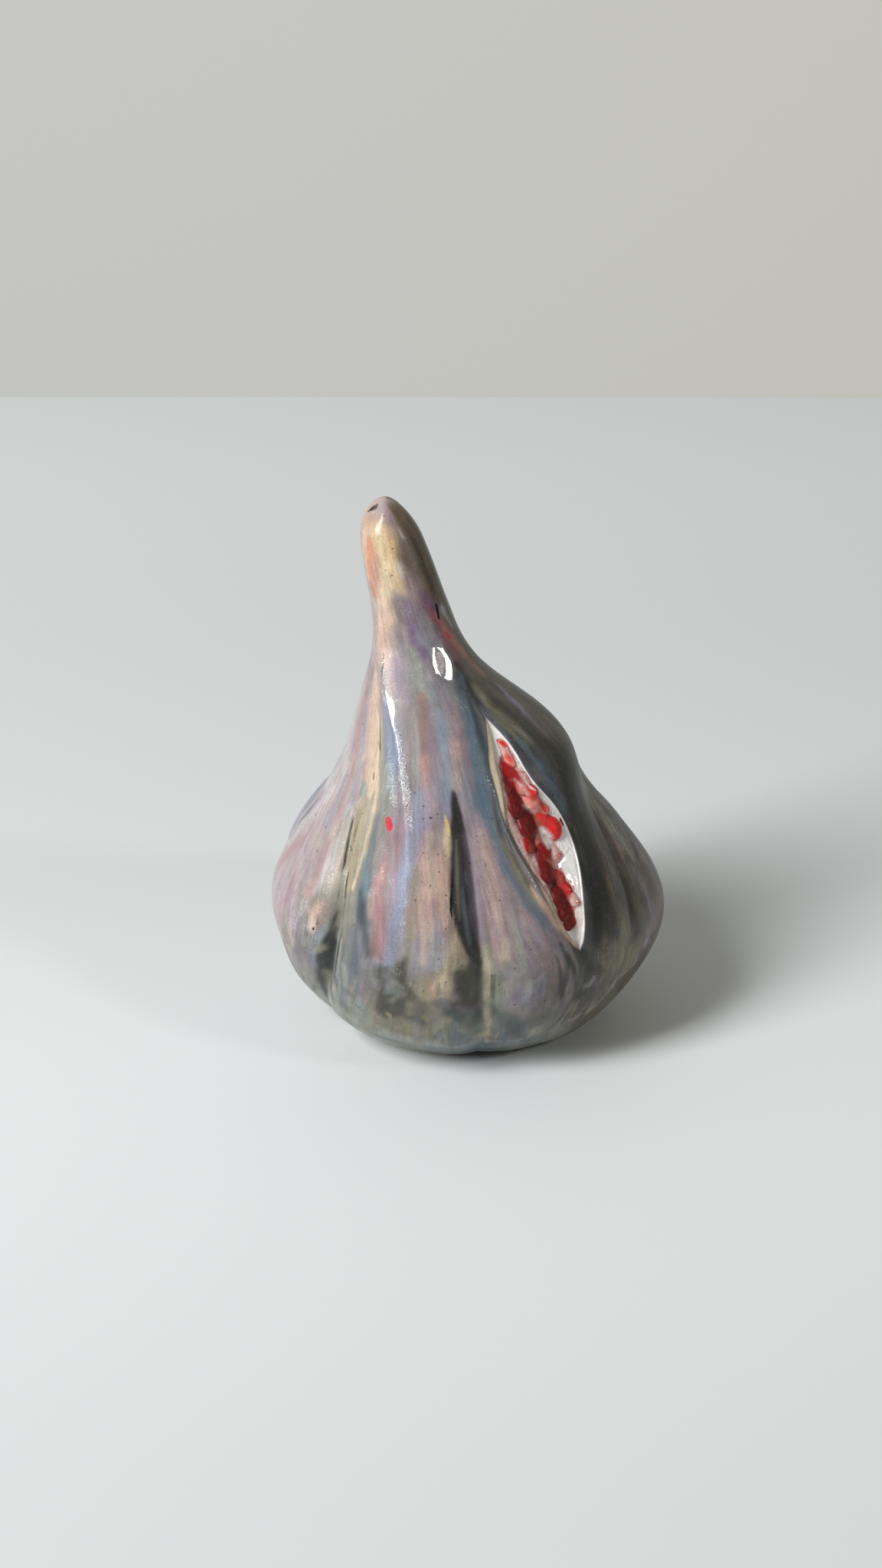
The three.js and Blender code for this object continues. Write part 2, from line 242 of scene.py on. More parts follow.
class Curve:
    """Natural cubic spline through the points."""

    def __init__(self, xs, ys):
        self.xs = np.asarray(xs, float)
        self.ys = np.asarray(ys, float)
        count = len(self.xs)
        steps = np.diff(self.xs)
        slopes = np.diff(self.ys) / steps
        matrix = np.eye(count)
        right = np.zeros(count)
        for i in range(1, count - 1):
            matrix[i, i - 1:i + 2] = steps[i - 1], 2 * (steps[i - 1] + steps[i]), steps[i]
            right[i] = 6 * (slopes[i] - slopes[i - 1])
        self.bend = np.linalg.solve(matrix, right)

    def __call__(self, x):
        at = np.clip(x, self.xs[0], self.xs[-1])
        i = np.clip(np.searchsorted(self.xs, at, side="right") - 1, 0, len(self.xs) - 2)
        step = self.xs[i + 1] - self.xs[i]
        a = (self.xs[i + 1] - at) / step
        b = 1 - a
        bend = ((a ** 3 - a) * self.bend[i] + (b ** 3 - b) * self.bend[i + 1]) * step ** 2 / 6
        return a * self.ys[i] + b * self.ys[i + 1] + bend


SECTION_HEIGHTS = [section[0] for section in SECTIONS]
MIDDLE_X, MIDDLE_Y, HALF_LEFT, HALF_RIGHT, HALF_FRONT, HALF_BACK = (
    Curve(SECTION_HEIGHTS, [section[column] for section in SECTIONS]) for column in range(1, 7)
)
CREASE_ANGLES = [Curve(CREASE_HEIGHTS, crease[0]) for crease in CREASES]
RIDGE_ANGLE = Curve(RIDGE_HEIGHTS, RIDGE_ANGLES)
SPLIT_HALF = Curve(SPLIT_HEIGHTS, SPLIT_HALF_ANGLES)


def arc_between(from_angle, to_angle, radius):
    """Distance along the surface from one angle to another, at a given radius."""
    turn = (to_angle - from_angle + 540) % 360 - 180
    return np.radians(turn) * radius


def section_radius(angle, z):
    sine = np.sin(np.radians(angle))
    cosine = np.cos(np.radians(angle))
    across = np.where(sine >= 0, HALF_RIGHT(z), HALF_LEFT(z))
    deep = np.where(cosine >= 0, HALF_FRONT(z), HALF_BACK(z))
    return across * deep / np.hypot(deep * sine, across * cosine)


def crease_dip(index, angle, z, radius):
    _, depth, fade, flanks = CREASES[index]
    arc = arc_between(CREASE_ANGLES[index](z), angle, radius)
    flank = np.where(arc < 0, flanks[0], flanks[1])
    risen = smooth_step(0, CREASE_FULL_DEPTH_HEIGHT, z)
    growing = CREASE_DEPTH_AT_FOOT + (1 - CREASE_DEPTH_AT_FOOT) * risen
    fading = 1 - smooth_step(fade[0], fade[1], z)
    return depth * fading * growing * np.exp(-(np.abs(arc) / flank) ** CREASE_SHARPNESS)


def skin_radius(angle, z):
    """The same surface as the part's body, without its pocket."""
    plain = section_radius(angle, z)
    ridge_arc = np.abs(arc_between(RIDGE_ANGLE(z), angle, plain))
    along = smooth_step(*RIDGE_FROM, z) * (1 - smooth_step(*RIDGE_TO, z))
    radius = plain + RIDGE_RISE * along * np.exp(-(ridge_arc / RIDGE_HALF_WIDTH) ** RIDGE_SHARPNESS)
    for index in range(len(CREASES)):
        radius = radius - crease_dip(index, angle, z, plain)
    radius = radius * quarter_round((z - FIG_HEIGHT + STEM_TIP_ROUND) / STEM_TIP_ROUND)
    radius = radius - FOOT_ROUND * (1 - quarter_round(1 - z / FOOT_ROUND))
    pit_arc = arc_between(TIP_PIT_ANGLE, angle, radius)
    pit = np.hypot(pit_arc, z - TIP_PIT_HEIGHT) / TIP_PIT_RADIUS
    return radius - TIP_PIT_DEPTH * np.exp(-pit * pit)


def surface_point(angle, z, radius):
    turn = np.radians(angle)
    x = MIDDLE_X(z) + radius * np.sin(turn)
    y = MIDDLE_Y(z) - radius * np.cos(turn)
    return np.stack([x, y, z + 0 * x], -1)


def lattice_noise(points, cell, seed):
    """Smooth noise from 0 to 1 on a lattice of seeded random numbers."""
    size = 32
    table = np.random.default_rng(seed).random((size, size, size))
    scaled = np.asarray(points, float) / cell
    whole = np.floor(scaled).astype(int)
    part = scaled - whole
    part = part * part * (3 - 2 * part)
    total = 0.0
    for corner in np.ndindex(2, 2, 2):
        weight = 1.0
        for axis in range(3):
            weight = weight * (part[..., axis] if corner[axis] else 1 - part[..., axis])
        i, j, k = ((whole[..., axis] + corner[axis]) % size for axis in range(3))
        total = total + weight * table[i, j, k]
    return total


def lumps(points, layers):
    """Unevenness around 0, as the sum of layers of noise: cell, seed and height of each."""
    return sum((lattice_noise(points, cell, seed) - 0.5) * height for cell, seed, height in layers)


def nearest_on_piece(start, end, angle, z, radius):
    """Where on a straight piece of a path each point is nearest, from 0 to 1, and how far off."""
    across = arc_between(angle, start[0], radius)
    run = arc_between(start[0], end[0], radius)
    rise = end[1] - start[1]
    share = -(across * run + (start[1] - z) * rise) / np.maximum(run * run + rise * rise, TINY)
    share = np.clip(share, 0, 1)
    return share, np.hypot(across + share * run, start[1] - z + share * rise)


def line_distance(path, angle, z, radius):
    """Shortest distance on the surface to a line through points of angle and height."""
    pieces = zip(path[:-1], path[1:])
    return np.minimum.reduce([nearest_on_piece(*ends, angle, z, radius)[1] for ends in pieces])


# Grid of the skin

def body_heights():
    foot = FOOT_ROUND * (1 - np.cos(np.linspace(0, np.pi / 2, FOOT_ROWS, endpoint=False)))
    straight = np.linspace(FOOT_ROUND, FIG_HEIGHT - STEM_TIP_ROUND, BODY_ROWS, endpoint=False)
    turn = np.linspace(0, np.pi / 2, TIP_ROWS, endpoint=False)
    tip = FIG_HEIGHT - STEM_TIP_ROUND * (1 - np.sin(turn))
    return np.concatenate([foot, straight, tip])


def split_half_width(z):
    """Half the split's opening in degrees, with a hair's breadth left above and below it."""
    least = np.degrees(LEAST_SPLIT_HALF / section_radius(CREASE_ANGLES[SPLIT_CREASE](z), z))
    inside = (z > SPLIT_HEIGHTS[0]) & (z < SPLIT_HEIGHTS[-1])
    return np.maximum(np.where(inside, SPLIT_HALF(z), 0), least)


def split_openness(z):
    """1 along the split, and 0 at its ends and beyond them."""
    bottom = smooth_step(SPLIT_HEIGHTS[0], SPLIT_HEIGHTS[0] + SPLIT_END_LENGTH, z)
    top = smooth_step(SPLIT_HEIGHTS[-1], SPLIT_HEIGHTS[-1] - SPLIT_END_LENGTH, z)
    return bottom * top


def skin_columns(heights):
    """Angle and extra depth of every point of the skin, row by row, and each column's lane.

    A lane is the angle that a column has at the fig's widest height, so that brush hairs
    run along the lobes.
    """
    z = heights[:, None]
    angles = []
    depths = []
    lanes = []
    for index, count in enumerate(LOBE_COLUMNS):
        after = (index + 1) % len(CREASES)
        turn = 360 if after == 0 else 0
        share = np.arange(count) / count
        eased = share - COLUMN_CROWDING * np.sin(2 * np.pi * share)

        def edges(height):
            start = CREASE_ANGLES[index](height)
            end = CREASE_ANGLES[after](height) + turn
            if index == SPLIT_CREASE:
                start = start + split_half_width(height)
            if after == SPLIT_CREASE:
                end = end - split_half_width(height)
            return start, end

        start, end = edges(z)
        angles.append(start + (end - start) * eased)
        depths.append(np.zeros((len(heights), count)))
        first, last = edges(np.array(WIDEST_HEIGHT))
        lanes.append(first + (last - first) * eased)
        if after == SPLIT_CREASE:
            inner_angles, inner_depths = split_inside(z)
            angles.append(inner_angles)
            depths.append(inner_depths)
            lane = float(CREASE_ANGLES[SPLIT_CREASE](WIDEST_HEIGHT))
            lanes.append(np.full(inner_angles.shape[1], lane))
    return np.hstack(angles), np.hstack(depths), np.concatenate(lanes)


def split_inside(z):
    """Columns from the left lip, down the wall, over the pocket's floor and up the other wall."""
    middle = CREASE_ANGLES[SPLIT_CREASE](z)
    half = split_half_width(z)
    per_degree = np.radians(section_radius(middle, z))
    half_length = half * per_degree
    openness = split_openness(z)
    angles = []
    depths = []
    for side, wall in ((-1, LEFT_WALL), (1, RIGHT_WALL[::-1])):
        for offset, depth in wall:
            share = np.interp(z, LEDGE_HEIGHTS, LEDGE_SHARES) if side == -1 else 1.0
            inwards = half_length * np.tanh(offset * share / half_length)
            angles.append(middle + side * (half_length - inwards) / per_degree)
            depths.append(depth * openness)
        if side == -1:
            angles.append(middle)
            depths.append(WALL_FLOOR_DEPTH * openness)
    # The last one is the right lip itself, which the next lobe begins with
    return np.hstack(angles[:-1]), np.hstack(depths[:-1])


def fine_relief(angle, z, radius, points):
    """Low forms that the fingers and tools left in the clay."""
    relief = lumps(points, CLAY_LUMPS) * smooth_step(0.0, SMOOTH_FOOT_HEIGHT, z)
    for centre, height, wide, tall, depth in THUMB_DIPS:
        arc = arc_between(centre, angle, radius)
        distance = np.hypot(arc / wide, (z - height) / tall)
        relief = relief - depth * np.exp(-distance ** 2)
    for path, width, depth in SCORED_LINES:
        relief = relief - depth * np.exp(-(line_distance(path, angle, z, radius) / width) ** 2)
    return relief


def rub_flat(angle, z, radius):
    """Brings the skin onto a plane inside the flat spot."""
    height = np.array(FLAT_SPOT_HEIGHT)
    at = np.array(FLAT_SPOT_ANGLE)
    centre = surface_point(at, height, skin_radius(at, height))
    facing = np.array(direction(FLAT_SPOT_TURN, FLAT_SPOT_TILT))
    axis = surface_point(angle, z, np.zeros_like(radius))
    outward = surface_point(angle, z, np.ones_like(radius)) - axis
    towards = np.maximum(outward @ facing, LEAST_FACING)
    flat = ((centre - axis) @ facing - FLAT_SPOT_SINK) / towards
    half_width, half_height = FLAT_SPOT_HALF_SIZE
    arc = arc_between(FLAT_SPOT_ANGLE, angle, radius)
    away = np.hypot(arc / half_width, (z - height) / half_height)
    return radius + (flat - radius) * (1 - smooth_step(*FLAT_SPOT_RIM, away))


# Paints, in the eye's own scale from 0 to 255

PAINTS = {
    "cream": (214, 193, 160),
    "ivory": (236, 226, 208),
    "peach": (202, 172, 151),
    "salmon": (180, 136, 120),
    "dusty_peach": (178, 153, 139),
    "orange": (196, 128, 102),
    "brick": (150, 104, 94),
    "rose": (168, 120, 124),
    "mauve_pink": (154, 130, 133),
    "pinkish_grey": (174, 158, 160),
    "mauve_grey": (134, 124, 130),
    "lavender_grey": (148, 147, 156),
    "lavender": (140, 136, 156),
    "periwinkle": (126, 137, 158),
    "light_blue": (128, 142, 154),
    "pale_grey": (198, 196, 194),
    "grey_green": (148, 152, 140),
    "teal_grey": (98, 114, 118),
    "teal_blue": (84, 106, 122),
    "dark_teal": (54, 67, 70),
    "slate": (78, 83, 92),
    "olive_dark": (64, 62, 51),
    "olive": (124, 118, 90),
    "khaki": (166, 156, 128),
    "straw": (210, 180, 136),
    "charcoal": (40, 41, 40),
    "taupe": (116, 104, 97),
    "brown": (106, 86, 70),
    "purple": (112, 90, 122),
    "magenta": (144, 88, 106),
    "ochre": (204, 172, 126),
    "yellow": (214, 192, 130),
    "red": (205, 50, 66),
    "near_black": (20, 20, 22),
    "ledge_cream": (244, 226, 194),
    "flesh_white": (240, 234, 228),
    "flesh_pink": (214, 176, 168),
    "flesh_shade": (176, 142, 134),
    "seed_bright": (218, 46, 44),
    "seed_red": (152, 30, 28),
    # Dark red, darkened further as painted shade for the seeds in the split's left half, which lies
    # in shade
    "seed_dark": (108, 24, 24),
    "seed_brown": (150, 84, 62),
    "seed_pink": (186, 72, 66),
    "seed_pale": (214, 134, 122),
}

# Thin first coat: angle, height and paint. The coats run into each other.
WASHES = [
    # Stem
    (-60, 65, "peach"), (-10, 66, "dusty_peach"), (60, 65, "brown"), (150, 64, "olive"),
    (-110, 62, "peach"), (-60, 61, "peach"), (-20, 61, "straw"), (10, 60, "khaki"),
    (40, 60, "brown"), (80, 60, "olive_dark"), (130, 60, "brown"), (-150, 60, "khaki"),
    (-100, 56, "pinkish_grey"), (-55, 56, "peach"), (-25, 56, "khaki"), (0, 56, "mauve_grey"),
    (25, 56, "taupe"), (50, 56, "taupe"), (90, 55, "olive_dark"), (150, 55, "taupe"),
    # Neck
    (-110, 50, "lavender_grey"), (-75, 51, "pinkish_grey"), (-50, 51, "peach"),
    (-25, 51, "mauve_grey"), (0, 51, "mauve_grey"), (15, 51, "mauve_grey"), (35, 51, "mauve_pink"),
    (60, 51, "brown"), (90, 51, "olive_dark"), (140, 51, "olive_dark"), (-160, 51, "mauve_grey"),
    (-90, 46, "mauve_pink"), (-60, 46, "pinkish_grey"), (-35, 46, "mauve_grey"),
    (-15, 46, "grey_green"), (5, 46, "mauve_grey"), (20, 46, "lavender_grey"),
    (35, 46, "dark_teal"), (55, 46, "olive_dark"), (90, 46, "olive_dark"), (130, 46, "charcoal"),
    # Shoulders
    (-120, 42, "lavender_grey"), (-80, 41, "pinkish_grey"), (-62, 41, "pinkish_grey"),
    (-52, 41, "peach"), (-40, 41, "lavender"), (-28, 41, "mauve_grey"), (-18, 41, "mauve_grey"),
    (-6, 41, "lavender_grey"), (6, 41, "mauve_grey"), (16, 41, "teal_blue"), (45, 41, "olive_dark"),
    (65, 41, "olive_dark"), (90, 41, "charcoal"), (130, 41, "charcoal"), (170, 42, "mauve_grey"),
    (-120, 35, "lavender_grey"), (-85, 35, "pinkish_grey"), (-65, 35, "pinkish_grey"),
    (-52, 35, "cream"), (-40, 35, "grey_green"), (-27, 35, "mauve_grey"),
    (-15, 35, "mauve_pink"), (-4, 35, "lavender_grey"), (5, 35, "mauve_grey"),
    (15, 35, "teal_grey"), (46, 35, "slate"), (60, 35, "charcoal"), (85, 35, "charcoal"),
    (125, 35, "olive_dark"), (165, 35, "taupe"), (-160, 35, "lavender_grey"),
    # Lobes
    (-130, 28, "teal_grey"), (-100, 28, "lavender_grey"), (-82, 29, "pinkish_grey"),
    (-65, 28, "pinkish_grey"), (-52, 28, "khaki"), (-42, 28, "khaki"), (-33, 28, "mauve_grey"),
    (-24, 28, "mauve_grey"), (-14, 28, "mauve_pink"), (-6, 28, "salmon"), (2, 28, "slate"),
    (8, 28, "mauve_pink"), (15, 28, "teal_grey"), (48, 28, "olive_dark"), (60, 28, "charcoal"),
    (78, 28, "olive_dark"), (100, 28, "slate"), (130, 28, "olive_dark"), (165, 28, "mauve_grey"),
    (-160, 28, "mauve_grey"),
    (-120, 21, "lavender_grey"), (-92, 21, "pinkish_grey"), (-76, 21, "pinkish_grey"),
    (-60, 21, "pinkish_grey"), (-48, 21, "olive"), (-38, 21, "teal_grey"),
    (-28, 21, "mauve_grey"), (-20, 21, "lavender_grey"), (-10, 21, "mauve_pink"),
    (-2, 22, "olive"), (8, 21, "mauve_pink"), (17, 21, "mauve_grey"), (28, 21, "mauve_grey"),
    (45, 21, "charcoal"), (58, 21, "olive_dark"), (75, 21, "taupe"), (92, 21, "slate"),
    (125, 21, "olive_dark"), (165, 21, "taupe"), (-165, 21, "teal_grey"),
    # Low down
    (-120, 14, "mauve_grey"), (-95, 14, "mauve_grey"), (-75, 15, "pinkish_grey"),
    (-60, 14, "mauve_grey"), (-48, 13, "charcoal"), (-38, 14, "teal_grey"),
    (-28, 14, "mauve_grey"), (-20, 14, "olive_dark"), (-10, 14, "khaki"), (0, 14, "olive"),
    (8, 14, "grey_green"), (17, 14, "mauve_grey"), (27, 13, "taupe"), (40, 14, "olive_dark"),
    (55, 14, "olive"), (75, 14, "taupe"), (95, 14, "olive_dark"), (130, 14, "taupe"),
    (165, 14, "mauve_grey"), (-160, 14, "olive"),
    (-110, 7, "taupe"), (-80, 7, "taupe"), (-60, 7, "grey_green"), (-45, 7, "grey_green"),
    (-28, 8, "olive"), (-14, 8, "olive"), (0, 8, "teal_grey"), (12, 8, "dark_teal"),
    (24, 8, "taupe"), (40, 8, "olive_dark"), (60, 8, "olive_dark"), (85, 8, "taupe"),
    (130, 8, "olive_dark"), (170, 8, "teal_grey"), (-150, 8, "dark_teal"),
    (-100, 2, "grey_green"), (-60, 2, "grey_green"), (-30, 2, "grey_green"),
    (0, 2, "teal_grey"), (30, 2, "grey_green"), (60, 2, "olive"), (110, 2, "olive"),
    (170, 2, "teal_grey"), (-140, 2, "teal_grey"),
]
WASH_SPREAD = 3.0

# Brush strokes: paint, width or widths from start to end, path of angles and heights,
# then the strength and the softness of the edge where they aren't the usual ones
STROKES = [
    # Stem
    ("peach", (2.4, 3.2), [(-70, 65.5), (-44, 64)], 0.7),
    ("pinkish_grey", 2.4, [(-40, 66.2), (0, 66)], 0.7),
    ("mauve_pink", (1.6, 2.2, 1.6), [(6, 65.6), (2, 64.6), (-4, 63.9)], 0.7),
    ("purple", (0.3, 0.5, 0.3), [(6, 65.3), (9, 64.8), (6, 64.3)], 0.5),
    ("olive", (0.6, 1.0), [(27, 66), (35, 65.6)]),
    ("brown", (1.0, 1.8, 1.4), [(34, 65.6), (32, 64.2), (36, 62.5)]),
    ("straw", (2.4, 3.2, 3.0, 2.2),
     [(-14, 63.6), (-10, 61.8), (-10, 59.8), (-16, 57.6)], 0.9, 1.2),
    ("cream", (1.6, 2.4, 2.4, 1.8), [(-28, 63), (-26, 60), (-30, 57), (-38, 54)], 0.8, 1.2),
    ("peach", (2.0, 2.4, 2.2), [(-36, 55), (-43, 52), (-48, 49)]),
    ("salmon", (1.0, 1.8, 1.8, 1.0),
     [(-45, 62.4), (-41, 60.6), (-48, 57.8), (-55, 56)], 0.85, 0.5),
    ("orange", (0.6, 0.8, 0.5), [(-44, 61.6), (-42, 60.2), (-47, 58.6)], 0.4),
    ("peach", (0.8, 1.0), [(-58, 62), (-66, 58)], 0.7),
    ("ochre", (0.8, 1.0), [(2, 62.4), (6, 61.0)], 0.6),
    ("taupe", (1.2, 2.2, 2.0, 1.4), [(28, 63.5), (20, 61.8), (17, 60.2), (20, 58.6)], 0.9),
    ("brown", (0.5, 1.0), [(16, 61.0), (14, 60.0)], 0.7),
    ("pale_grey", 1.0, [(4, 60.0), (5, 59.2)], 0.5),
    ("mauve_pink", (1.0, 1.8, 1.8), [(12, 58.6), (14, 57.2), (19, 55.6)], 0.7),
    ("orange", (0.3, 0.6, 0.3), [(54, 61.4), (52, 59.8), (52, 58.4)], 0.35),
    ("slate", (1.0, 1.5, 1.0), [(46, 62.5), (42, 60.5), (36, 59)], 0.7),
    ("brown", (2.0, 2.6, 2.0), [(60, 64), (58, 60), (54, 56)], 0.7),
    ("olive_dark", (0.6, 1.0, 0.6), [(46, 62.4), (47, 59), (50, 56)], 0.7),
    ("olive_dark", 2.6, [(85, 64), (85, 55)]),
    ("purple", (1.4, 2.0, 1.8, 1.4), [(-6, 55.5), (-3, 53), (-2, 51), (-3, 49.8)], 0.75),
    ("mauve_grey", (1.2, 1.8), [(-14, 56.5), (-10, 54.5)], 0.7),
    ("taupe", (1.2, 1.0), [(-18, 55.5), (-14, 53.5)], 0.6),
    ("mauve_grey", 2.0, [(12, 54.5), (14, 51.5)], 0.7),
    ("magenta", (1.2, 1.6, 1.2), [(30, 56), (34, 54.5), (36, 53.5)], 0.45),
    ("purple", (1.2, 1.4), [(27, 56.5), (33, 55)], 0.5),
    ("pale_grey", (0.7, 1.0, 0.6), [(56, 54), (60, 53), (64, 51.8)], 0.7),
    ("orange", (1.0, 1.8, 1.6, 1.2), [(38, 53.3), (42, 52), (50, 50.2), (60, 48.5)], 0.75),
    ("salmon", (1.0, 1.0, 0.7), [(56, 49), (66, 47.5), (76, 45.5)], 0.6),
    ("olive_dark", (1.4, 2.0, 2.0), [(72, 53), (84, 50), (92, 47)], 0.85),
    ("charcoal", 1.6, [(98, 53), (104, 48), (112, 44)], 0.7),
    # Neck
    ("magenta", (1.0, 1.6, 1.2), [(40, 50.2), (43, 48.8), (42, 47.6)], 0.65),
    ("lavender_grey", 1.8, [(8, 51.5), (18, 50.5)], 0.6),
    ("grey_green", (1.6, 2.4, 2.0), [(-14, 49.6), (-12, 48), (-12, 46)], 0.65),
    ("mauve_grey", (1.4, 2.0, 1.6), [(-28, 52), (-28, 50), (-26, 48.5)], 0.6),
    ("purple", (1.0, 1.8, 1.6, 1.0), [(-34, 48.4), (-30, 46.8), (-26, 45.6), (-22, 44.8)], 0.55),
    ("taupe", (1.0, 1.8, 1.4), [(48, 48.6), (50, 47), (48, 45.4)], 0.7),
    ("charcoal", (1.4, 2.2, 1.6), [(34, 47.6), (34, 46), (36, 44)], 0.7),
    ("grey_green", 1.1, [(29, 47.2), (28, 45.5)], 0.5),
    ("pinkish_grey", 2.0, [(-78, 54), (-70, 48)]),
    ("mauve_pink", 1.8, [(-92, 53), (-84, 46)], 0.7),
    # Shoulders, left to right
    ("pale_grey", (2.4, 3.4, 4.0), [(-98, 46), (-90, 38), (-88, 32)], 0.6),
    ("mauve_pink", (1.0, 1.6, 1.4), [(-76, 46), (-74, 41), (-72, 36)], 0.6),
    ("rose", (0.7, 1.0, 0.9, 0.7), [(-70, 43.5), (-69, 38.5), (-64, 33), (-61, 29.5)], 0.5),
    ("lavender", (0.7, 1.0, 0.7), [(-66, 42), (-65, 39), (-62, 35.5)], 0.6),
    ("lavender_grey", (0.8, 1.2, 1.0), [(-60, 36), (-59, 33.5), (-58, 30)], 0.7),
    ("peach", (1.4, 2.0, 2.2, 1.6), [(-58, 46.5), (-56, 42.5), (-54, 38.5), (-52, 35)]),
    ("cream", (0.9, 1.4, 1.6, 1.4), [(-50, 42), (-48, 39), (-47.5, 36.5), (-48.5, 33.5)], 0.8),
    ("khaki", (0.4, 0.7, 0.7), [(-48, 41.5), (-46, 39), (-44, 37)], 0.5, 0.3),
    ("cream", (0.6, 0.8, 0.8, 0.6),
     [(-43.5, 35.7), (-40.5, 31.5), (-40, 26.5), (-41, 24)], 0.9, 0.35),
    ("periwinkle", (1.0, 2.4, 3.0, 2.6, 1.6),
     [(-41, 44.6), (-37, 42.6), (-34, 40.4), (-33, 38), (-34, 35.6)], 0.85),
    ("light_blue", (1.0, 1.4, 1.0), [(-38, 41), (-35, 39), (-34, 37.4)], 0.6),
    ("grey_green", (1.4, 2.2, 1.8), [(-36, 37), (-35, 34.8), (-35, 32.5)], 0.6),
    ("mauve_pink", (0.9, 1.3, 0.9), [(-26, 46.2), (-24, 44.5), (-23.6, 43.2)], 0.7),
    ("taupe", (1.2, 1.5, 1.4, 1.2), [(-24, 44), (-23.4, 42), (-23, 39), (-23, 36)], 0.65),
    ("grey_green", (0.8, 1.0, 0.9), [(-19, 43.8), (-19, 41), (-19.6, 38.4)], 0.55),
    ("brick", (0.9, 1.3, 1.1, 1.0),
     [(-12.5, 45.6), (-13.5, 43.5), (-14.7, 41.5), (-15, 38.5)], 0.75),
    ("salmon", (0.9, 1.1, 1.0, 0.8), [(-15, 39.5), (-15, 37), (-14.8, 35.6), (-13, 34.6)], 0.6),
    ("mauve_grey", (1.0, 1.2, 1.2), [(-8, 44.5), (-10, 41), (-11, 37.5)], 0.6),
    ("light_blue", (0.8, 1.2, 1.3, 1.1), [(-0.5, 44), (-4, 40.5), (-6.5, 36.5), (-7, 33.8)], 0.75),
    ("mauve_pink", (1.2, 1.5, 1.3), [(9, 44.5), (5.5, 42), (3, 40)], 0.7),
    ("dusty_peach", (0.9, 1.2, 1.1, 0.7), [(4, 41), (1.5, 39.5), (0.5, 38), (0, 36.8)], 0.7),
    ("magenta", (0.5, 0.8, 0.5), [(9, 42), (7, 39), (5.5, 37)], 0.4),
    ("teal_blue", (1.0, 1.9, 2.0, 2.0, 1.9, 1.7, 1.4, 1.2),
     [(30, 46.6), (23, 44.6), (18, 42.3), (12.5, 39), (9.8, 35.5), (9.5, 32.5), (11.2, 29.8),
      (14, 28)], 0.8),
    ("light_blue", (0.5, 0.8, 0.5), [(24, 44.8), (19.5, 42.8), (16, 41)], 0.5),
    ("dark_teal", (0.7, 0.9, 0.9, 0.8, 0.8, 0.6),
     [(27, 44.5), (20.5, 41.5), (17, 38.5), (15, 35), (14.5, 32), (16, 29)], 0.75),
    # Left lobe
    ("rose", (0.9, 1.3, 1.0), [(-59, 27), (-57, 24.5), (-56, 21.6)], 0.6),
    ("pale_grey", (0.5, 0.8, 0.9, 0.5), [(-58, 31), (-56.5, 28), (-54.5, 24), (-54.5, 22)], 0.5),
    ("rose", (1.4, 2.4, 1.6), [(-73, 25.5), (-78, 23.5), (-80, 21)], 0.5),
    ("magenta", (0.7, 1.2, 0.8), [(-66, 23), (-65, 20.8), (-66, 19)], 0.4),
    ("lavender_grey", (0.8, 1.3, 0.9), [(-69, 34), (-67, 31), (-65, 28.5)], 0.7),
    ("lavender_grey", (0.8, 1.3, 0.8), [(-72, 24), (-71, 20), (-70, 16)], 0.5),
    ("dark_teal", (0.4, 0.8, 0.4), [(-83, 28.8), (-85, 27), (-86.5, 25.4)], 0.85, 0.35),
    ("teal_grey", (0.4, 0.7, 0.4), [(-86, 36), (-86, 34), (-86, 32.5)], 0.5),
    ("pale_grey", (1.2, 2.6, 1.6), [(-74, 36), (-76, 30), (-84, 22)], 0.5, 1.2),
    ("pinkish_grey", (1.0, 2.2, 1.0), [(-62, 24), (-61, 19), (-62, 14)], 0.6),
    ("magenta", (0.8, 1.4, 0.8), [(-64, 19.4), (-66, 18), (-66, 16.6)], 0.35),
    ("olive", (0.7, 1.6, 1.6, 1.2), [(-52.5, 31), (-50.5, 28), (-48.5, 25.5), (-47, 22.5)], 0.75),
    ("khaki", (1.0, 2.0, 2.0, 1.2), [(-50.5, 32), (-48.5, 29.5), (-46.5, 26.6), (-45, 24)], 0.9),
    ("khaki", (0.8, 1.2, 0.9), [(-44.5, 29), (-44, 26), (-44, 23.5)], 0.7),
    ("peach", (0.8, 1.4, 1.2), [(-51.5, 21), (-52.5, 19.2), (-52.5, 17.9)], 0.9),
    ("light_blue", (0.6, 1.6, 1.4, 0.8),
     [(-48.5, 18.4), (-50.5, 16.6), (-53, 14.6), (-56, 12)], 0.7),
    ("charcoal", (0.3, 0.9, 1.3, 1.2, 0.6),
     [(-46.0, 20.4), (-47.4, 17.3), (-51, 13.7), (-56.2, 9.8), (-61.4, 5.3)], 0.97, 0.35),
    ("grey_green", (0.5, 0.8, 0.8), [(-43.5, 19.6), (-45, 15.5), (-46.7, 12)], 0.7, 0.4),
    ("slate", (1.2, 2.0, 1.6), [(-36, 20), (-35.6, 17), (-35, 14.4)], 0.6),
    ("slate", (1.0, 1.5, 1.0), [(-35, 24.4), (-34.4, 22.8), (-33.6, 21.4)], 0.75),
    ("light_blue", (1.0, 1.6, 1.0), [(-35.4, 26.6), (-35.2, 25.2), (-35, 24.2)], 0.6),
    ("slate", (1.4, 2.4, 1.8), [(-38, 15), (-41, 11.5), (-44, 8)], 0.6),
    ("mauve_grey", 1.8, [(-62, 13), (-68, 8)], 0.6),
    ("pinkish_grey", (1.0, 2.4, 1.4), [(-70, 20), (-73, 15), (-76, 11)], 0.7),
    # Front lobe
    ("teal_grey", (1.2, 2.0, 2.2, 2.0),
     [(-38, 32), (-37.4, 30), (-36.8, 27), (-36.2, 24.5)], 0.75),
    ("mauve_grey", (1.4, 2.0, 1.8), [(-30, 32), (-28.6, 29), (-27.5, 26)], 0.6),
    ("brick", (0.8, 1.4, 1.8, 1.8, 1.2),
     [(-29, 31), (-28.4, 27), (-28, 23), (-27.6, 19.5), (-27.4, 17.4)], 0.6),
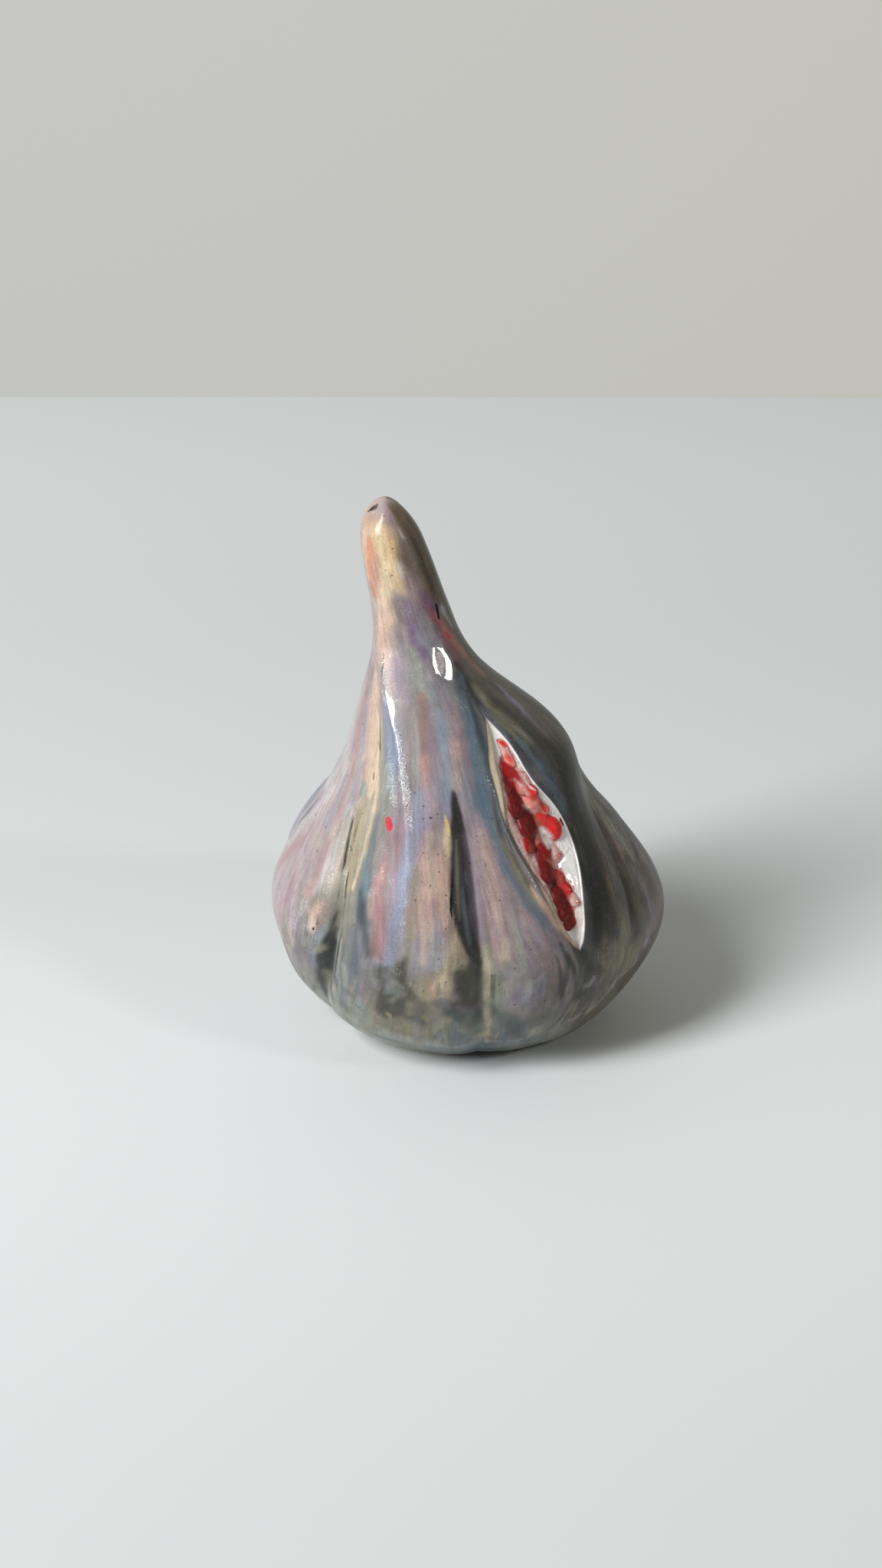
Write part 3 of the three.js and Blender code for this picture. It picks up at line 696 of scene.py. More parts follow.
    ("dusty_peach", (0.6, 1.1, 0.8), [(-31, 25.8), (-31, 24), (-31, 22.4)], 0.6),
    ("salmon", (0.3, 0.8, 0.6), [(-30.2, 27.6), (-30, 26), (-30, 24.6)], 0.7, 0.6),
    ("magenta", (0.6, 1.0, 0.9, 0.6),
     [(-25.6, 33.4), (-25, 31.4), (-24.4, 28.8), (-24.4, 26.5)], 0.45),
    ("periwinkle", (1.2, 1.8, 1.9, 1.7, 1.5, 1.2),
     [(-18.4, 35.4), (-19.6, 32), (-20.8, 28.6), (-21.6, 24.8), (-22, 21.5), (-23.2, 16.8)], 0.7),
    ("lavender", (1.4, 2.2, 1.4), [(-15, 36), (-15.6, 34), (-15, 32)], 0.6),
    ("mauve_grey", (1.2, 1.8, 1.2), [(-8, 34.5), (-8, 32), (-12, 33.5)], 0.4),
    ("dusty_peach", (1.0, 2.2, 2.4, 2.0),
     [(-13.4, 31.6), (-13.4, 29), (-13.6, 26), (-13.6, 22.5)], 0.7),
    ("dusty_peach", (1.6, 2.8, 2.8, 1.8), [(-7, 32.6), (-7.4, 29.5), (-8, 26), (-8, 22.8)], 0.7),
    ("dusty_peach", (0.5, 0.8, 0.6), [(-4.6, 31), (-4.8, 27), (-5, 23.5)], 0.7),
    ("salmon", (0.6, 1.2, 0.8), [(-7.6, 30), (-8, 27.4), (-8.4, 25)], 0.35),
    ("olive", (0.6, 1.2, 1.4, 1.2, 0.9),
     [(-16.8, 28.4), (-17.4, 25), (-17.2, 21.5), (-18, 18.5), (-19, 17)], 0.6),
    ("lavender_grey", (0.9, 1.3, 0.9), [(-27.3, 17), (-27.3, 15), (-27.3, 13.4)], 0.6),
    ("purple", (0.5, 1.0, 0.5), [(-11.2, 25), (-11.2, 23.4), (-11.2, 21.8)], 0.6),
    ("lavender_grey", (1.4, 2.6, 2.4), [(-10.2, 22.4), (-10.2, 20.4), (-10.4, 18.4)], 0.65),
    ("khaki", (1.6, 3.0, 2.4), [(-3, 21), (-4.5, 18), (-6.5, 15.4)], 0.65),
    ("cream", (0.8, 1.4, 0.9), [(-7.4, 16.2), (-8, 14.8), (-8.2, 13.6)], 0.6),
    ("salmon", (0.6, 1.2, 0.8), [(-11.4, 15.8), (-11, 14.6), (-10.6, 13.4)], 0.5),
    ("taupe", (0.7, 1.1, 0.7), [(-10.8, 18.6), (-11, 17), (-11.2, 15.4)], 0.4),
    ("olive_dark", (0.8, 2.6, 3.8, 2.8),
     [(-18.6, 18), (-20.6, 15.6), (-23, 12.6), (-25.8, 10)], 0.95),
    ("olive_dark", (1.4, 2.0), [(-18, 14), (-14.5, 11.6)], 0.8),
    ("olive_dark", (1.0, 2.2, 2.4, 1.6), [(0.6, 17.5), (-0.6, 14.6), (-3, 12.4), (-7, 11)], 0.85),
    ("taupe", (2.0, 3.0, 2.0), [(-18, 11.4), (-14, 10.4), (-9, 10.6)], 0.6),
    ("dark_teal", (1.4, 2.6, 2.4), [(-9, 12.4), (-5, 11.2), (0, 10)], 0.75),
    ("rose", (0.6, 1.1, 0.7), [(-33, 13.2), (-32.8, 12), (-32.4, 10.6)], 0.5),
    ("grey_green", (1.2, 1.8, 1.2), [(-40, 14), (-40, 11.6), (-40.6, 9)], 0.6),
    ("grey_green", (1.5, 2.2, 1.6), [(-44, 6.5), (-28, 5.6), (-12, 5.0)], 0.6),
    # The light blue line is a painted highlight along the rounded rim above the foot, and the teal
    # bands under it are teal paint that also stands for the shade where the belly turns under
    ("teal_grey", (1.0, 1.3, 1.3, 1.0), [(-34, 4.0), (-12, 3.6), (12, 3.8), (30, 4.2)], 0.8),
    ("light_blue", (0.3, 0.5, 0.5, 0.3), [(-30, 4.9), (-12, 4.5), (6, 4.6), (20, 5.0)], 0.6, 0.3),
    ("dark_teal", (0.6, 0.9, 0.9, 0.6), [(-26, 2.6), (-8, 2.3), (12, 2.4), (28, 2.8)], 0.6),
    # Front crease and the lobe left of the split
    ("mauve_grey", (0.8, 1.6, 1.8, 1.4), [(1, 31), (3, 27.5), (3, 23.5), (3.4, 20.5)], 0.7),
    ("purple", (0.4, 0.8, 0.8, 0.5), [(2.4, 29), (3.0, 26.4), (3.0, 23), (3.4, 20.8)], 0.5),
    ("charcoal", (0.5, 1.7, 2.4, 2.8, 2.7, 2.0, 0.9),
     [(-2.6, 36.0), (-2.3, 32), (-2.3, 29.8), (-2.0, 26.8), (-1.2, 22.9), (0.6, 19.6), (3.0, 17.0)],
     0.97, 0.3),
    ("mauve_grey", (0.3, 0.9, 1.2, 1.2, 0.6),
     [(0.2, 33), (1.4, 30), (2.0, 26.8), (2.6, 22.9), (3.6, 19.6)], 0.6, 0.5),
    ("olive", (0.15, 0.3, 0.2), [(-3.4, 31), (-3.4, 27), (-2.8, 23)], 0.5, 0.2),
    ("teal_grey", (0.2, 0.5, 0.3), [(-1.6, 26), (-1.0, 23), (0.2, 20)], 0.6, 0.25),
    ("olive_dark", (0.8, 1.4, 1.6, 1.2), [(2.2, 18.6), (2.6, 15.6), (2.0, 13), (1.0, 10.6)], 0.75),
    ("slate", (0.3, 0.5, 0.3), [(0.2, 29), (0.4, 26), (1.0, 22.5)], 0.6, 0.25),
    ("khaki", (0.5, 0.9, 0.8, 0.6, 0.5),
     [(5.0, 19.2), (5.5, 17.4), (5.6, 15), (5.4, 12), (5.4, 9.6)], 0.85, 0.35),
    ("charcoal", (0.3, 0.5, 0.5, 0.3), [(7, 15.6), (7.2, 13), (7.2, 11), (7.0, 9.4)], 0.7, 0.25),
    ("olive", (0.6, 1.0), [(9, 15.6), (9.4, 13.2)], 0.5),
    ("mauve_pink", (1.2, 2.8, 3.4, 3.0, 2.4),
     [(5, 33.5), (7.4, 29.6), (8.6, 26), (10, 22.6), (12, 19.4)], 0.6),
    ("taupe", (0.5, 1.0, 0.8), [(6.5, 31), (9.6, 26), (12, 21)], 0.5),
    ("mauve_grey", (0.6, 1.2, 0.8), [(12, 26), (14.5, 22.5), (17.5, 19)], 0.6),
    ("peach", (0.7, 1.4, 1.4, 0.8), [(6.6, 31.5), (8.4, 28.5), (9, 25), (9, 21.5)], 0.35),
    ("grey_green", (0.6, 1.4, 1.8, 1.2), [(13.4, 23.4), (14.6, 21), (15, 18.6), (14, 16)], 0.6),
    ("khaki", (0.8, 1.3, 0.9), [(10.6, 20), (10.4, 18.5), (10.2, 17)], 0.6),
    ("mauve_pink", (1.2, 2.4, 2.2), [(17, 23), (20.4, 19.8), (22.4, 17.6)], 0.7),
    ("rose", (0.7, 1.1, 0.7), [(21.6, 20.4), (23.4, 18.6), (24.6, 17.2)], 0.4),
    ("teal_blue", (0.8, 1.1, 1.1, 0.8),
     [(13.6, 28), (17.2, 26), (20.6, 23.4), (23.2, 21.4)], 0.75),
    ("light_blue", (0.5, 0.9, 0.6), [(19, 21.6), (20.6, 20), (21.6, 18.8)], 0.5),
    ("olive", (0.6, 1.1, 1.3, 1.0), [(15.4, 30.4), (16.6, 28.6), (19.4, 26.4), (23, 24)], 0.8),
    ("olive_dark", (0.4, 0.6, 0.6, 0.4),
     [(17, 29.6), (20, 26.8), (24, 23.8), (27, 21.6)], 0.6, 0.3),
    ("peach", (0.5, 0.9, 0.9, 0.5), [(21.6, 25.6), (25, 23.4), (28, 21.2), (31, 19)], 0.85, 0.35),
    ("purple", (0.8, 1.6, 1.0), [(15.6, 14), (14.4, 13), (13.6, 12.2)], 0.75),
    ("magenta", (0.3, 0.7, 0.4), [(23, 16.8), (21.2, 15.8), (19.4, 14.8)], 0.6, 0.35),
    ("lavender_grey", (0.8, 1.3, 0.9), [(21.6, 15.6), (19.2, 14.4), (17, 12.4)], 0.8, 0.4),
    ("lavender", (0.6, 1.2, 1.2), [(23.6, 14.8), (21, 12.8), (18, 10.6)], 0.5),
    ("taupe", (0.8, 1.3, 1.0), [(25, 14.4), (25, 12.4), (24, 10.4)], 0.5),
    ("salmon", (0.4, 0.7, 0.4), [(25, 16.6), (25.4, 15.2), (25.6, 14)], 0.5),
    ("charcoal", (0.5, 0.9, 0.9, 0.5),
     [(26.2, 17.6), (27.6, 14.8), (28.6, 12), (29.4, 10)], 0.9, 0.3),
    ("charcoal", (0.4, 0.7, 0.7, 0.4),
     [(30, 17.4), (32.4, 15), (33.8, 13), (34.4, 11)], 0.85, 0.3),
    ("charcoal", (0.6, 1.0, 1.0, 0.6), [(31.4, 19.2), (34, 17.6), (37, 16), (39, 14)], 0.8),
    ("mauve_grey", (0.4, 0.8, 0.8, 0.4),
     [(28.6, 16.8), (30.6, 14.2), (31.6, 12.2), (32.2, 10.4)], 0.8, 0.35),
    ("slate", (1.2, 2.0, 1.4), [(28, 9.6), (24, 8.4), (18, 8.4)], 0.5),
    ("khaki", (1.2, 1.8, 1.2), [(20.4, 6.6), (22, 6.3), (23.6, 6.2)], 0.65),
    ("khaki", (0.8, 1.4), [(5.8, 7.2), (5.8, 6.0)], 0.7),
    ("khaki", (1.4, 1.0), [(-2.4, 8.2), (0, 7.4)], 0.5),
    ("dark_teal", (1.6, 2.8, 2.2), [(9, 10), (13, 8.4), (16, 6.8)], 0.75),
    # Right of the split
    ("khaki", (0.6, 1.3, 1.4, 1.2), [(42.6, 44.9), (48, 42.9), (51.6, 41.2), (52, 39.6)], 0.5),
    ("olive", (0.6, 1.0, 1.1, 0.9), [(46, 43.2), (45.6, 41.2), (45, 39.4), (46, 38)], 0.6),
    ("teal_blue", (0.7, 1.2, 1.3, 0.9),
     [(45.4, 39.4), (46.4, 37.2), (46.8, 35), (48.6, 31.8)], 0.8),
    ("slate", (0.3, 0.4, 0.3), [(44, 37), (45, 34.6), (46.4, 31.6)], 0.6, 0.25),
    ("lavender", (0.7, 1.3, 1.0, 0.5), [(84, 43.4), (77, 42), (71.6, 40.6), (68.5, 38.5)], 0.75),
    ("taupe", (0.6, 1.2, 0.8), [(88, 41.5), (82, 40.2), (76, 38.5)], 0.5),
    ("brown", 1.2, [(70, 40), (66, 37)], 0.5),
    ("olive", (0.4, 0.7, 0.4), [(62, 40.6), (60, 38.4), (58, 36)], 0.5),
    ("charcoal", (1.6, 2.8, 2.8, 2.2, 1.6),
     [(66, 38), (60, 34), (55, 30), (51, 26), (48, 22)], 0.9),
    ("charcoal", (1.6, 2.4, 1.8), [(54, 43), (60, 40.5), (62, 37)], 0.7),
    ("olive_dark", (1.0, 2.0, 1.6), [(78, 37), (74, 33.5), (70, 30)], 0.6),
    ("taupe", (0.6, 1.2, 1.0), [(78, 35.8), (74, 33.4), (70, 31)], 0.4),
    ("charcoal", (1.0, 2.0, 2.4, 2.0), [(44, 27), (44.6, 24), (43.6, 21), (41, 18)], 0.85),
    ("brown", (0.5, 1.2, 0.9), [(53.6, 24), (52.6, 22), (52.4, 20.4)], 0.6),
    ("olive", (0.8, 1.6, 1.2), [(54, 20), (53.4, 18.4), (52.6, 16.4)], 0.5),
    ("olive", (1.4, 2.8, 3.2, 2.4), [(44, 17.4), (49, 15), (54, 13.2), (60, 12.4)], 0.4),
    ("brown", (0.8, 1.6, 1.2), [(43, 15.6), (47, 13.4), (51, 11.4)], 0.5),
    ("charcoal", (0.8, 1.6, 1.4), [(60, 20), (60.6, 17.6), (61, 15.4)], 0.6),
    # This mauve-grey band and the pinkish-grey streak under it are paint that also stands for a
    # painted sheen running down the right lobe to the foot
    ("mauve_grey", (0.8, 1.5, 1.4, 1.2, 0.9),
     [(72, 21.5), (70.4, 18.6), (69.2, 14.8), (64, 11.6), (52, 9.6)], 0.75),
    ("pinkish_grey", (0.3, 0.6, 0.7, 0.5), [(64, 11), (56, 9.4), (46, 7.8), (36, 6.2)], 0.6, 0.35),
    ("taupe", (1.0, 1.6, 1.2), [(44, 11.6), (40, 9.4), (34, 8)], 0.5),
    ("mauve_grey", (0.9, 1.8, 1.4), [(92, 28), (86, 25), (82, 21.4)], 0.7),
    # Lighter grey-green band on the right lobe, partly a painted sheen
    ("grey_green", (0.8, 2.0, 2.2, 1.2), [(88, 33), (84, 29.4), (79, 26), (76, 22.6)], 0.7),
    ("rose", (0.4, 0.7, 0.5), [(75.5, 25.6), (73, 24.4), (70.4, 23.2)], 0.6),
    ("charcoal", (0.4, 0.9, 0.6), [(88.5, 24.6), (83, 23.2), (78, 22)], 0.75),
    ("charcoal", (0.9, 1.6, 1.2), [(66, 28), (64, 24.6), (63, 21)], 0.6),
    # Last touches
    ("pale_grey", (2.0, 3.4, 2.4), [(-58, 20), (-55, 17), (-53, 13.6)], 0.3, 1.2),
    ("olive_dark", (1.8, 2.8, 2.6, 2.0),
     [(-26, 15.5), (-23.5, 12.6), (-19, 10.6), (-15, 9.2)], 0.95, 0.9),
    ("olive_dark", (1.4, 2.2, 2.2, 1.4),
     [(-3.4, 16.5), (-1.5, 13.4), (0.6, 11.0), (1.8, 8.6)], 0.95, 0.7),
    ("khaki", (0.4, 0.6, 0.7, 0.5), [(4.8, 18.6), (4.9, 15.4), (5.4, 11.4), (6.8, 4.6)], 0.8, 0.3),
    ("charcoal", (0.6, 1.5, 1.9, 1.2, 0.6),
     [(-45.6, 18.4), (-48.5, 15.6), (-52.5, 12.4), (-53.5, 10.0), (-50.4, 7.6)], 1.0, 0.4),
    ("near_black", (0.5, 1.1, 1.2, 0.6),
     [(-46.0, 16.5), (-49.5, 13.6), (-53.0, 10.6), (-51.4, 8.0)], 0.9, 0.4),
    ("grey_green", (0.3, 0.5, 0.4), [(-43.0, 17.0), (-44.0, 13.4), (-44.0, 10.0)], 0.75, 0.3),
    ("charcoal", (0.4, 0.9, 0.8, 0.4),
     [(27.6, 19.0), (30.0, 16.4), (30.0, 13.6), (28.4, 11.6)], 0.95, 0.3),
    ("charcoal", (0.4, 0.8, 0.6, 0.3),
     [(32.6, 17.6), (35.0, 15.2), (35.6, 12.4), (34.6, 10.8)], 0.9, 0.3),
    ("dark_teal", (0.6, 1.4, 1.6, 0.8),
     [(-36.4, 24.0), (-34.0, 21.8), (-31.0, 19.4), (-30.0, 17.6)], 0.7, 0.6),
    ("rose", (0.6, 1.2, 1.2, 0.7),
     [(-31.0, 26.0), (-28.4, 23.4), (-26.2, 20.0), (-25.6, 18.0)], 0.7, 0.4),
    ("dusty_peach", (0.8, 1.5, 1.2), [(-11.6, 24.0), (-12.2, 21.0), (-13.0, 18.4)], 0.7, 0.5),
    ("orange", (0.5, 1.3, 1.1, 0.5),
     [(-42.0, 62.8), (-49.0, 60.8), (-55.0, 58.4), (-59.0, 56.0)], 0.8, 0.4),
    ("magenta", (0.4, 0.9, 0.6), [(28.3, 55.0), (35.0, 52.7), (35.0, 50.0)], 0.7, 0.3),
    ("brown", (0.4, 0.9, 0.5), [(15.0, 66.2), (34.0, 65.3), (34.0, 63.8)], 0.7, 0.3),
    ("cream", (0.5, 0.7, 0.5), [(-6.9, 32.2), (-6.8, 31.0), (-6.4, 29.6)], 0.7, 0.3),
    ("ochre", (0.6, 1.2, 0.8), [(33, 62), (35.6, 59.8), (38, 57)], 0.12, 0.5),
]

# Small marks with a firm edge, given in the same way as the strokes
MARKS = [
    ("near_black", (0.25, 0.5, 0.2), [(-73, 65.4), (-62, 65.7), (-48, 66.0)], 0.85),
    ("brown", (0.4, 0.5, 0.2), [(-62, 65.9), (-50, 66.2), (-40, 66.3)], 0.6),
    ("near_black", (0.15, 0.25, 0.1), [(-46.3, 49.4), (-45.9, 47.8), (-46.2, 45.6)], 0.85),
    ("near_black", 0.25, [(2, 64.8), (2.5, 64.7)], 0.6),
    ("brown", 0.3, [(8, 59.5), (20, 59.4)], 0.6),
    ("near_black", 0.38, [(45, 54.8), (42.6, 54), (40, 53.2)]),
    ("red", 0.8, [(43.6, 51.2), (44.6, 50.9)], 0.6),
    ("taupe", 1.35, [(18.2, 49.5), (12.0, 47.9)], 0.8),
    ("pinkish_grey", 1.0, [(18.0, 49.4), (12.4, 48.0)]),
    ("red", (1.1, 1.2), [(-31.6, 32.2), (-30.6, 31.8)], 0.95),
    ("near_black", 0.36, [(-13, 33.6), (-12.8, 33.5)]),
    ("yellow", (0.3, 0.55, 0.35, 0.2),
     [(-7.2, 33.8), (-6.7, 33.1), (-6.3, 32.4), (-6.1, 31.6)], 0.75),
    ("near_black", 0.3, [(7, 28.3), (7.2, 28.2)], 0.7),
    ("near_black", 0.35, [(15.6, 21.7), (15.8, 21.6)], 0.8),
    ("near_black", 0.3, [(-11.5, 20.6), (-11.3, 20.5)], 0.7),
    ("olive_dark", (0.1, 0.22, 0.34, 0.3, 0.22, 0.12),
     [(-55.0, 30.6), (-52.4, 28.0), (-51.2, 26.9), (-49.8, 25.6), (-48.4, 24.0), (-46.8, 21.8)],
     0.85),
    ("olive_dark", (0.4, 0.25, 0.15), [(-50.4, 27.2), (-47, 26.6), (-44.5, 26)], 0.7),
    ("near_black", 0.32, [(-52.4, 17.8), (-52.2, 17.6)], 0.9),
    ("near_black", (0.15, 0.3, 0.3, 0.15), [(-43.3, 18.0), (-45.6, 14.0), (-49.7, 9.3)], 0.9),
    ("near_black", (0.15, 0.25, 0.15), [(-38.4, 9.8), (-35.5, 9.1), (-32, 8.6)], 0.6),
    ("salmon", (0.3, 0.5, 0.4), [(-29.6, 28), (-29.6, 26)], 0.6),
    ("near_black", (0.2, 0.35, 0.35, 0.2),
     [(-4.6, 30), (-5.0, 26.4), (-5.4, 24.0), (-4.2, 22.2)], 0.8),
    ("near_black", (0.2, 0.35, 0.2), [(16.4, 31.5), (17.6, 30), (18.6, 28.8)], 0.6),
    ("near_black", 0.3, [(30, 45.2), (30.4, 45.0)], 0.8),
    ("olive", 0.9, [(-25, 9.5), (-24.5, 9.1)], 0.8),
    ("olive", 0.9, [(-13, 10), (-12.6, 9.6)], 0.8),
    ("olive", (0.3, 0.5, 0.4, 0.3), [(-47.5, 42.5), (-46.4, 40.6), (-45, 38.6), (-44, 36.8)], 0.7),
    ("olive", 0.5, [(-45.6, 39.3), (-45.6, 39.0)], 0.8),
    ("olive", 0.6, [(-48.4, 35.8), (-48, 35.4)], 0.8),
    ("grey_green", (0.8, 1.0), [(-54.8, 33.9), (-54.4, 33.1)], 0.9),
    ("olive", 0.5, [(-51, 29.6), (-50.6, 28.4)], 0.7),
    ("olive_dark", (0.2, 0.4, 0.3), [(-46.8, 24.8), (-45.8, 23.4), (-44.6, 22.2)], 0.7),
]

# Thin veils of paint over everything: paint, angle, height, half width, half height, strength
VEILS = [
    ("ochre", -48, 61, 2.2, 4.0, 0.2),
    ("brown", -20, 42, 2.4, 4.0, 0.2),
    ("mauve_grey", -60, 24, 4.0, 4.0, 0.16),
    ("charcoal", -55, 8, 4.0, 3.5, 0.24),
    ("mauve_grey", -30, 33, 2.6, 4.0, 0.14),
    ("brown", 11, 26, 3.0, 6.0, 0.1),
    ("brown", 11, 19, 3.0, 3.0, 0.06),
    ("grey_green", 16, 10, 3.4, 3.0, 0.15),
    ("grey_green", -12, 9, 4.0, 3.0, 0.1),
    ("near_black", 74, 36, 4.0, 4.0, 0.22),
    ("near_black", 44, 18, 4.0, 4.0, 0.16),
    ("near_black", 38, 11, 4.0, 4.0, 0.18),
]

# Places where the glaze has pooled and is glassy: widths, path, strength, softness
GLAZE_POOLS = [
    ((0.25, 0.4, 0.45, 0.3), [(-52, 51.6), (-50, 50), (-48.5, 48), (-46, 46.2)], 0.8, 0.4),
    ((0.4, 0.8, 0.9, 0.7, 0.45, 0.25),
     [(-41.5, 45.6), (-38, 44.8), (-35, 43.6), (-31.6, 42.2), (-29.4, 41), (-28, 39.8)], 1.0, 0.3),
    ((0.3, 0.6, 0.95, 1.1, 0.8),
     [(18.5, 50.4), (25, 49.9), (27.5, 48.8), (21.5, 47.4), (13.5, 46.6)], 1.0, 0.15),
    ((0.25, 0.28, 0.3, 0.5), [(15.6, 50.5), (10.6, 49.4), (7.4, 48.2), (9, 46.7)], 1.0, 0.15),
    ((1.6, 2.0), [(-40, 66.2), (-52, 64.0)], 0.8, 0.6),
    ((0.9, 0.9), [(-31, 32.2), (-31, 31.6)], 0.9, 0.4),
]

# Places where fine bubbles make the glaze glitter, and where pale glints are painted in as
# painted highlights, given in the same way as the pools
SPARKLE_AND_GLINT_PLACES = [
    ((0.25, 0.35, 0.6, 0.8), [(-46.2, 49.4), (-46, 47.5), (-44.6, 45.4), (-40, 44.4)], 0.9, 0.3),
    ((0.4, 0.7, 0.9, 1.1, 1.1, 0.9, 0.7, 0.5),
     [(-34.4, 43.4), (-31.2, 41.7), (-29.6, 40.6), (-27.3, 39), (-25.8, 37.2), (-23.6, 35.5),
      (-21.6, 34), (-19.6, 31.6)], 1.0, 0.5),
    ((1.0, 1.8, 1.6), [(-36.5, 40), (-34.4, 37.4), (-31.4, 34.8)], 0.6, 1.0),
    ((1.5, 3.0, 3.4, 3.0), [(-27, 39), (-31, 34), (-31, 29), (-32, 24)], 0.3, 1.2),
    ((1.5, 2.6), [(24, 46), (17, 44)], 0.35, 1.0),
    ((1.5, 3.0, 2.0), [(-19, 28), (-21, 22), (-22, 16)], 0.35, 1.2),
]

# Paint of each seed, in the order of the seeds
SEED_PAINTS = (
    "flesh_pink", "flesh_pink", "seed_pale", "seed_red", "seed_pink", "flesh_pink", "seed_dark",
    "seed_pale", "seed_pink", "seed_dark", "seed_pale", "seed_pale", "seed_dark", "seed_pink",
    "seed_bright", "seed_red", "seed_pale", "seed_red", "flesh_pink", "seed_pink", "seed_dark",
    "seed_pink", "seed_red", "seed_dark", "flesh_pink", "seed_dark", "seed_dark",
)

# Brush strokes on the flesh alone, given in the same way as the ones on the skin
FLESH_STROKES = [
    ("flesh_pink", (1.2, 2.2, 1.8, 1.2), [(20, 37), (20, 33), (23, 29.5), (28, 24)], 0.75, 0.8),
    ("flesh_pink", (2.0, 3.4, 2.8, 1.4), [(31, 37.5), (33, 33), (33, 27), (34, 22)], 0.55, 0.9),
    # Painted shade along the flesh's left edge, under the lip
    ("flesh_shade", (0.5, 0.8, 0.8, 0.5),
     [(17.6, 35), (18, 31.5), (21.5, 28), (25.5, 23.5)], 0.5, 0.6),
]

# Brush strokes on the flesh and the seeds
SEED_STROKES = [
    ("seed_bright", (0.3, 0.55, 0.3), [(32.0, 39.9), (33.4, 39.7), (34.6, 39.5)], 0.8, 0.2),
    ("seed_pale", (0.4, 0.5, 0.4), [(33.0, 39.3), (32.4, 38.8), (32.6, 38.2)], 0.6, 0.3),
    ("seed_bright", (0.4, 0.7, 0.4), [(31.9, 38.7), (31.8, 38.1)], 0.8, 0.3),
    ("seed_red", (0.5, 0.9, 1.3, 1.3),
     [(27.6, 38.3), (27.0, 37.4), (26.8, 36.4), (26.2, 35.4)], 0.85, 0.4),
    ("seed_red", (0.5, 0.8, 0.5), [(30.2, 37.4), (30.8, 36.8), (31.8, 36.4)], 0.6, 0.4),
    ("flesh_pink", (0.3, 0.5, 0.3), [(29.8, 36.2), (31.6, 35.6), (33.0, 34.6)], 0.7, 0.3),
    ("seed_dark", (0.9, 1.3, 1.1), [(25.0, 36.2), (25.4, 35.2), (25.6, 34.4)], 0.9, 0.4),
    ("seed_dark", (1.5, 1.9, 1.7), [(25.2, 34.3), (25.6, 33.2), (25.2, 32.4)], 0.95, 0.3),
    ("seed_bright", (0.5, 1.1, 0.7), [(32.8, 35.3), (35.2, 34.9), (36.6, 34.2)], 0.6, 0.4),
    ("flesh_white", (0.2, 0.3, 0.2), [(34.4, 35.9), (35.4, 35.3), (37.2, 34.9)], 0.7, 0.2),
    ("flesh_pink", (0.3, 0.6, 0.4), [(28.8, 33.6), (31.2, 33.0), (32.8, 32.6)], 0.7, 0.3),
    ("seed_pink", (0.5, 0.8, 0.5), [(34.0, 34.2), (36.6, 33.6), (38.2, 33.0)], 0.6, 0.4),
    ("seed_bright", (0.5, 0.45), [(38.8, 32.7), (38.6, 32.5)], 1.0, 0.2),
    ("seed_dark", (1.4, 1.9, 1.8, 1.0),
     [(30.2, 32.2), (28.6, 31.2), (27.8, 30.3), (27.2, 29.7)], 0.95, 0.3),
    ("seed_brown", (0.5, 0.9, 0.6), [(33.2, 31.9), (33.8, 31.0), (33.6, 30.2)], 0.8, 0.4),
    ("seed_bright", (0.7, 1.3, 1.6, 1.0),
     [(35.0, 32.1), (37.6, 31.1), (40.8, 30.4), (37.6, 29.5)], 0.95, 0.4),
    ("flesh_white", (0.6, 1.2, 0.9), [(34.8, 30.4), (35.2, 29.7), (35.8, 28.8)], 0.9, 0.4),
    ("seed_dark", (0.3, 0.4, 0.3), [(45.2, 30.9), (45.5, 30.3)], 0.9, 0.2),
    ("seed_red", (1.0, 1.0), [(25.4, 29.9), (24.8, 29.0)], 0.8, 0.3),
    ("seed_brown", (0.5, 0.6), [(26.4, 29.5), (25.9, 29.0)], 0.75, 0.3),
    ("seed_red", (0.9, 1.7, 1.3), [(30.6, 28.9), (31.0, 28.2), (30.2, 27.5)], 0.85, 0.4),
    ("seed_dark", (0.6, 0.9, 0.7), [(29.0, 28.8), (29.2, 28.2), (28.8, 27.5)], 0.7, 0.4),
    ("seed_pale", (0.3, 0.4, 0.3), [(31.6, 27.5), (33.2, 27.1), (34.2, 26.6)], 0.7, 0.2),
    ("seed_pink", (0.3, 0.7, 0.4), [(38.2, 28.1), (37.6, 27.6), (36.2, 27.0)], 0.6, 0.3),
    ("seed_dark", (1.5, 1.9, 1.6), [(29.7, 27.0), (30.0, 26.2), (30.6, 25.2)], 0.95, 0.3),
    ("seed_pink", (0.7, 1.0, 0.6), [(33.6, 26.2), (34.0, 25.2)], 0.8, 0.4),
    ("seed_bright", (0.7, 0.9), [(34.9, 24.6), (35.6, 23.9)], 0.9, 0.3),
    ("seed_pale", (0.4, 0.7, 0.4), [(37.9, 25.0), (38.3, 24.1)], 0.7, 0.3),
    ("seed_pale", (0.7, 1.0, 0.7), [(36.2, 23.2), (38.0, 22.6)], 0.6, 0.4),
    ("seed_dark", (1.7, 1.7, 1.5, 0.8),
     [(31.0, 24.3), (32.2, 22.8), (32.8, 21.5), (33.4, 20.0)], 0.95, 0.3),
    ("seed_red", (0.3, 0.4, 0.3), [(35.0, 22.6), (35.0, 21.2), (34.6, 20.0)], 0.7, 0.3),
    ("flesh_white", (0.3, 0.7, 0.6, 0.4),
     [(37.0, 21.4), (36.4, 20.2), (35.0, 19.3), (32.4, 18.8)], 0.85, 0.2),
]

# Where the glaze has pooled beside the seeds, given in the same way as the pools on the skin
SPLIT_POOLS = [
    ((0.6, 1.0, 0.8), [(35.4, 30.6), (35.6, 29.6), (36.0, 28.8)], 1.0, 0.3),
    ((0.8, 1.6, 1.6, 0.8), [(37.6, 28.6), (38.6, 27.4), (38.4, 25.0), (36.8, 22.6)], 1.0, 0.3),
]

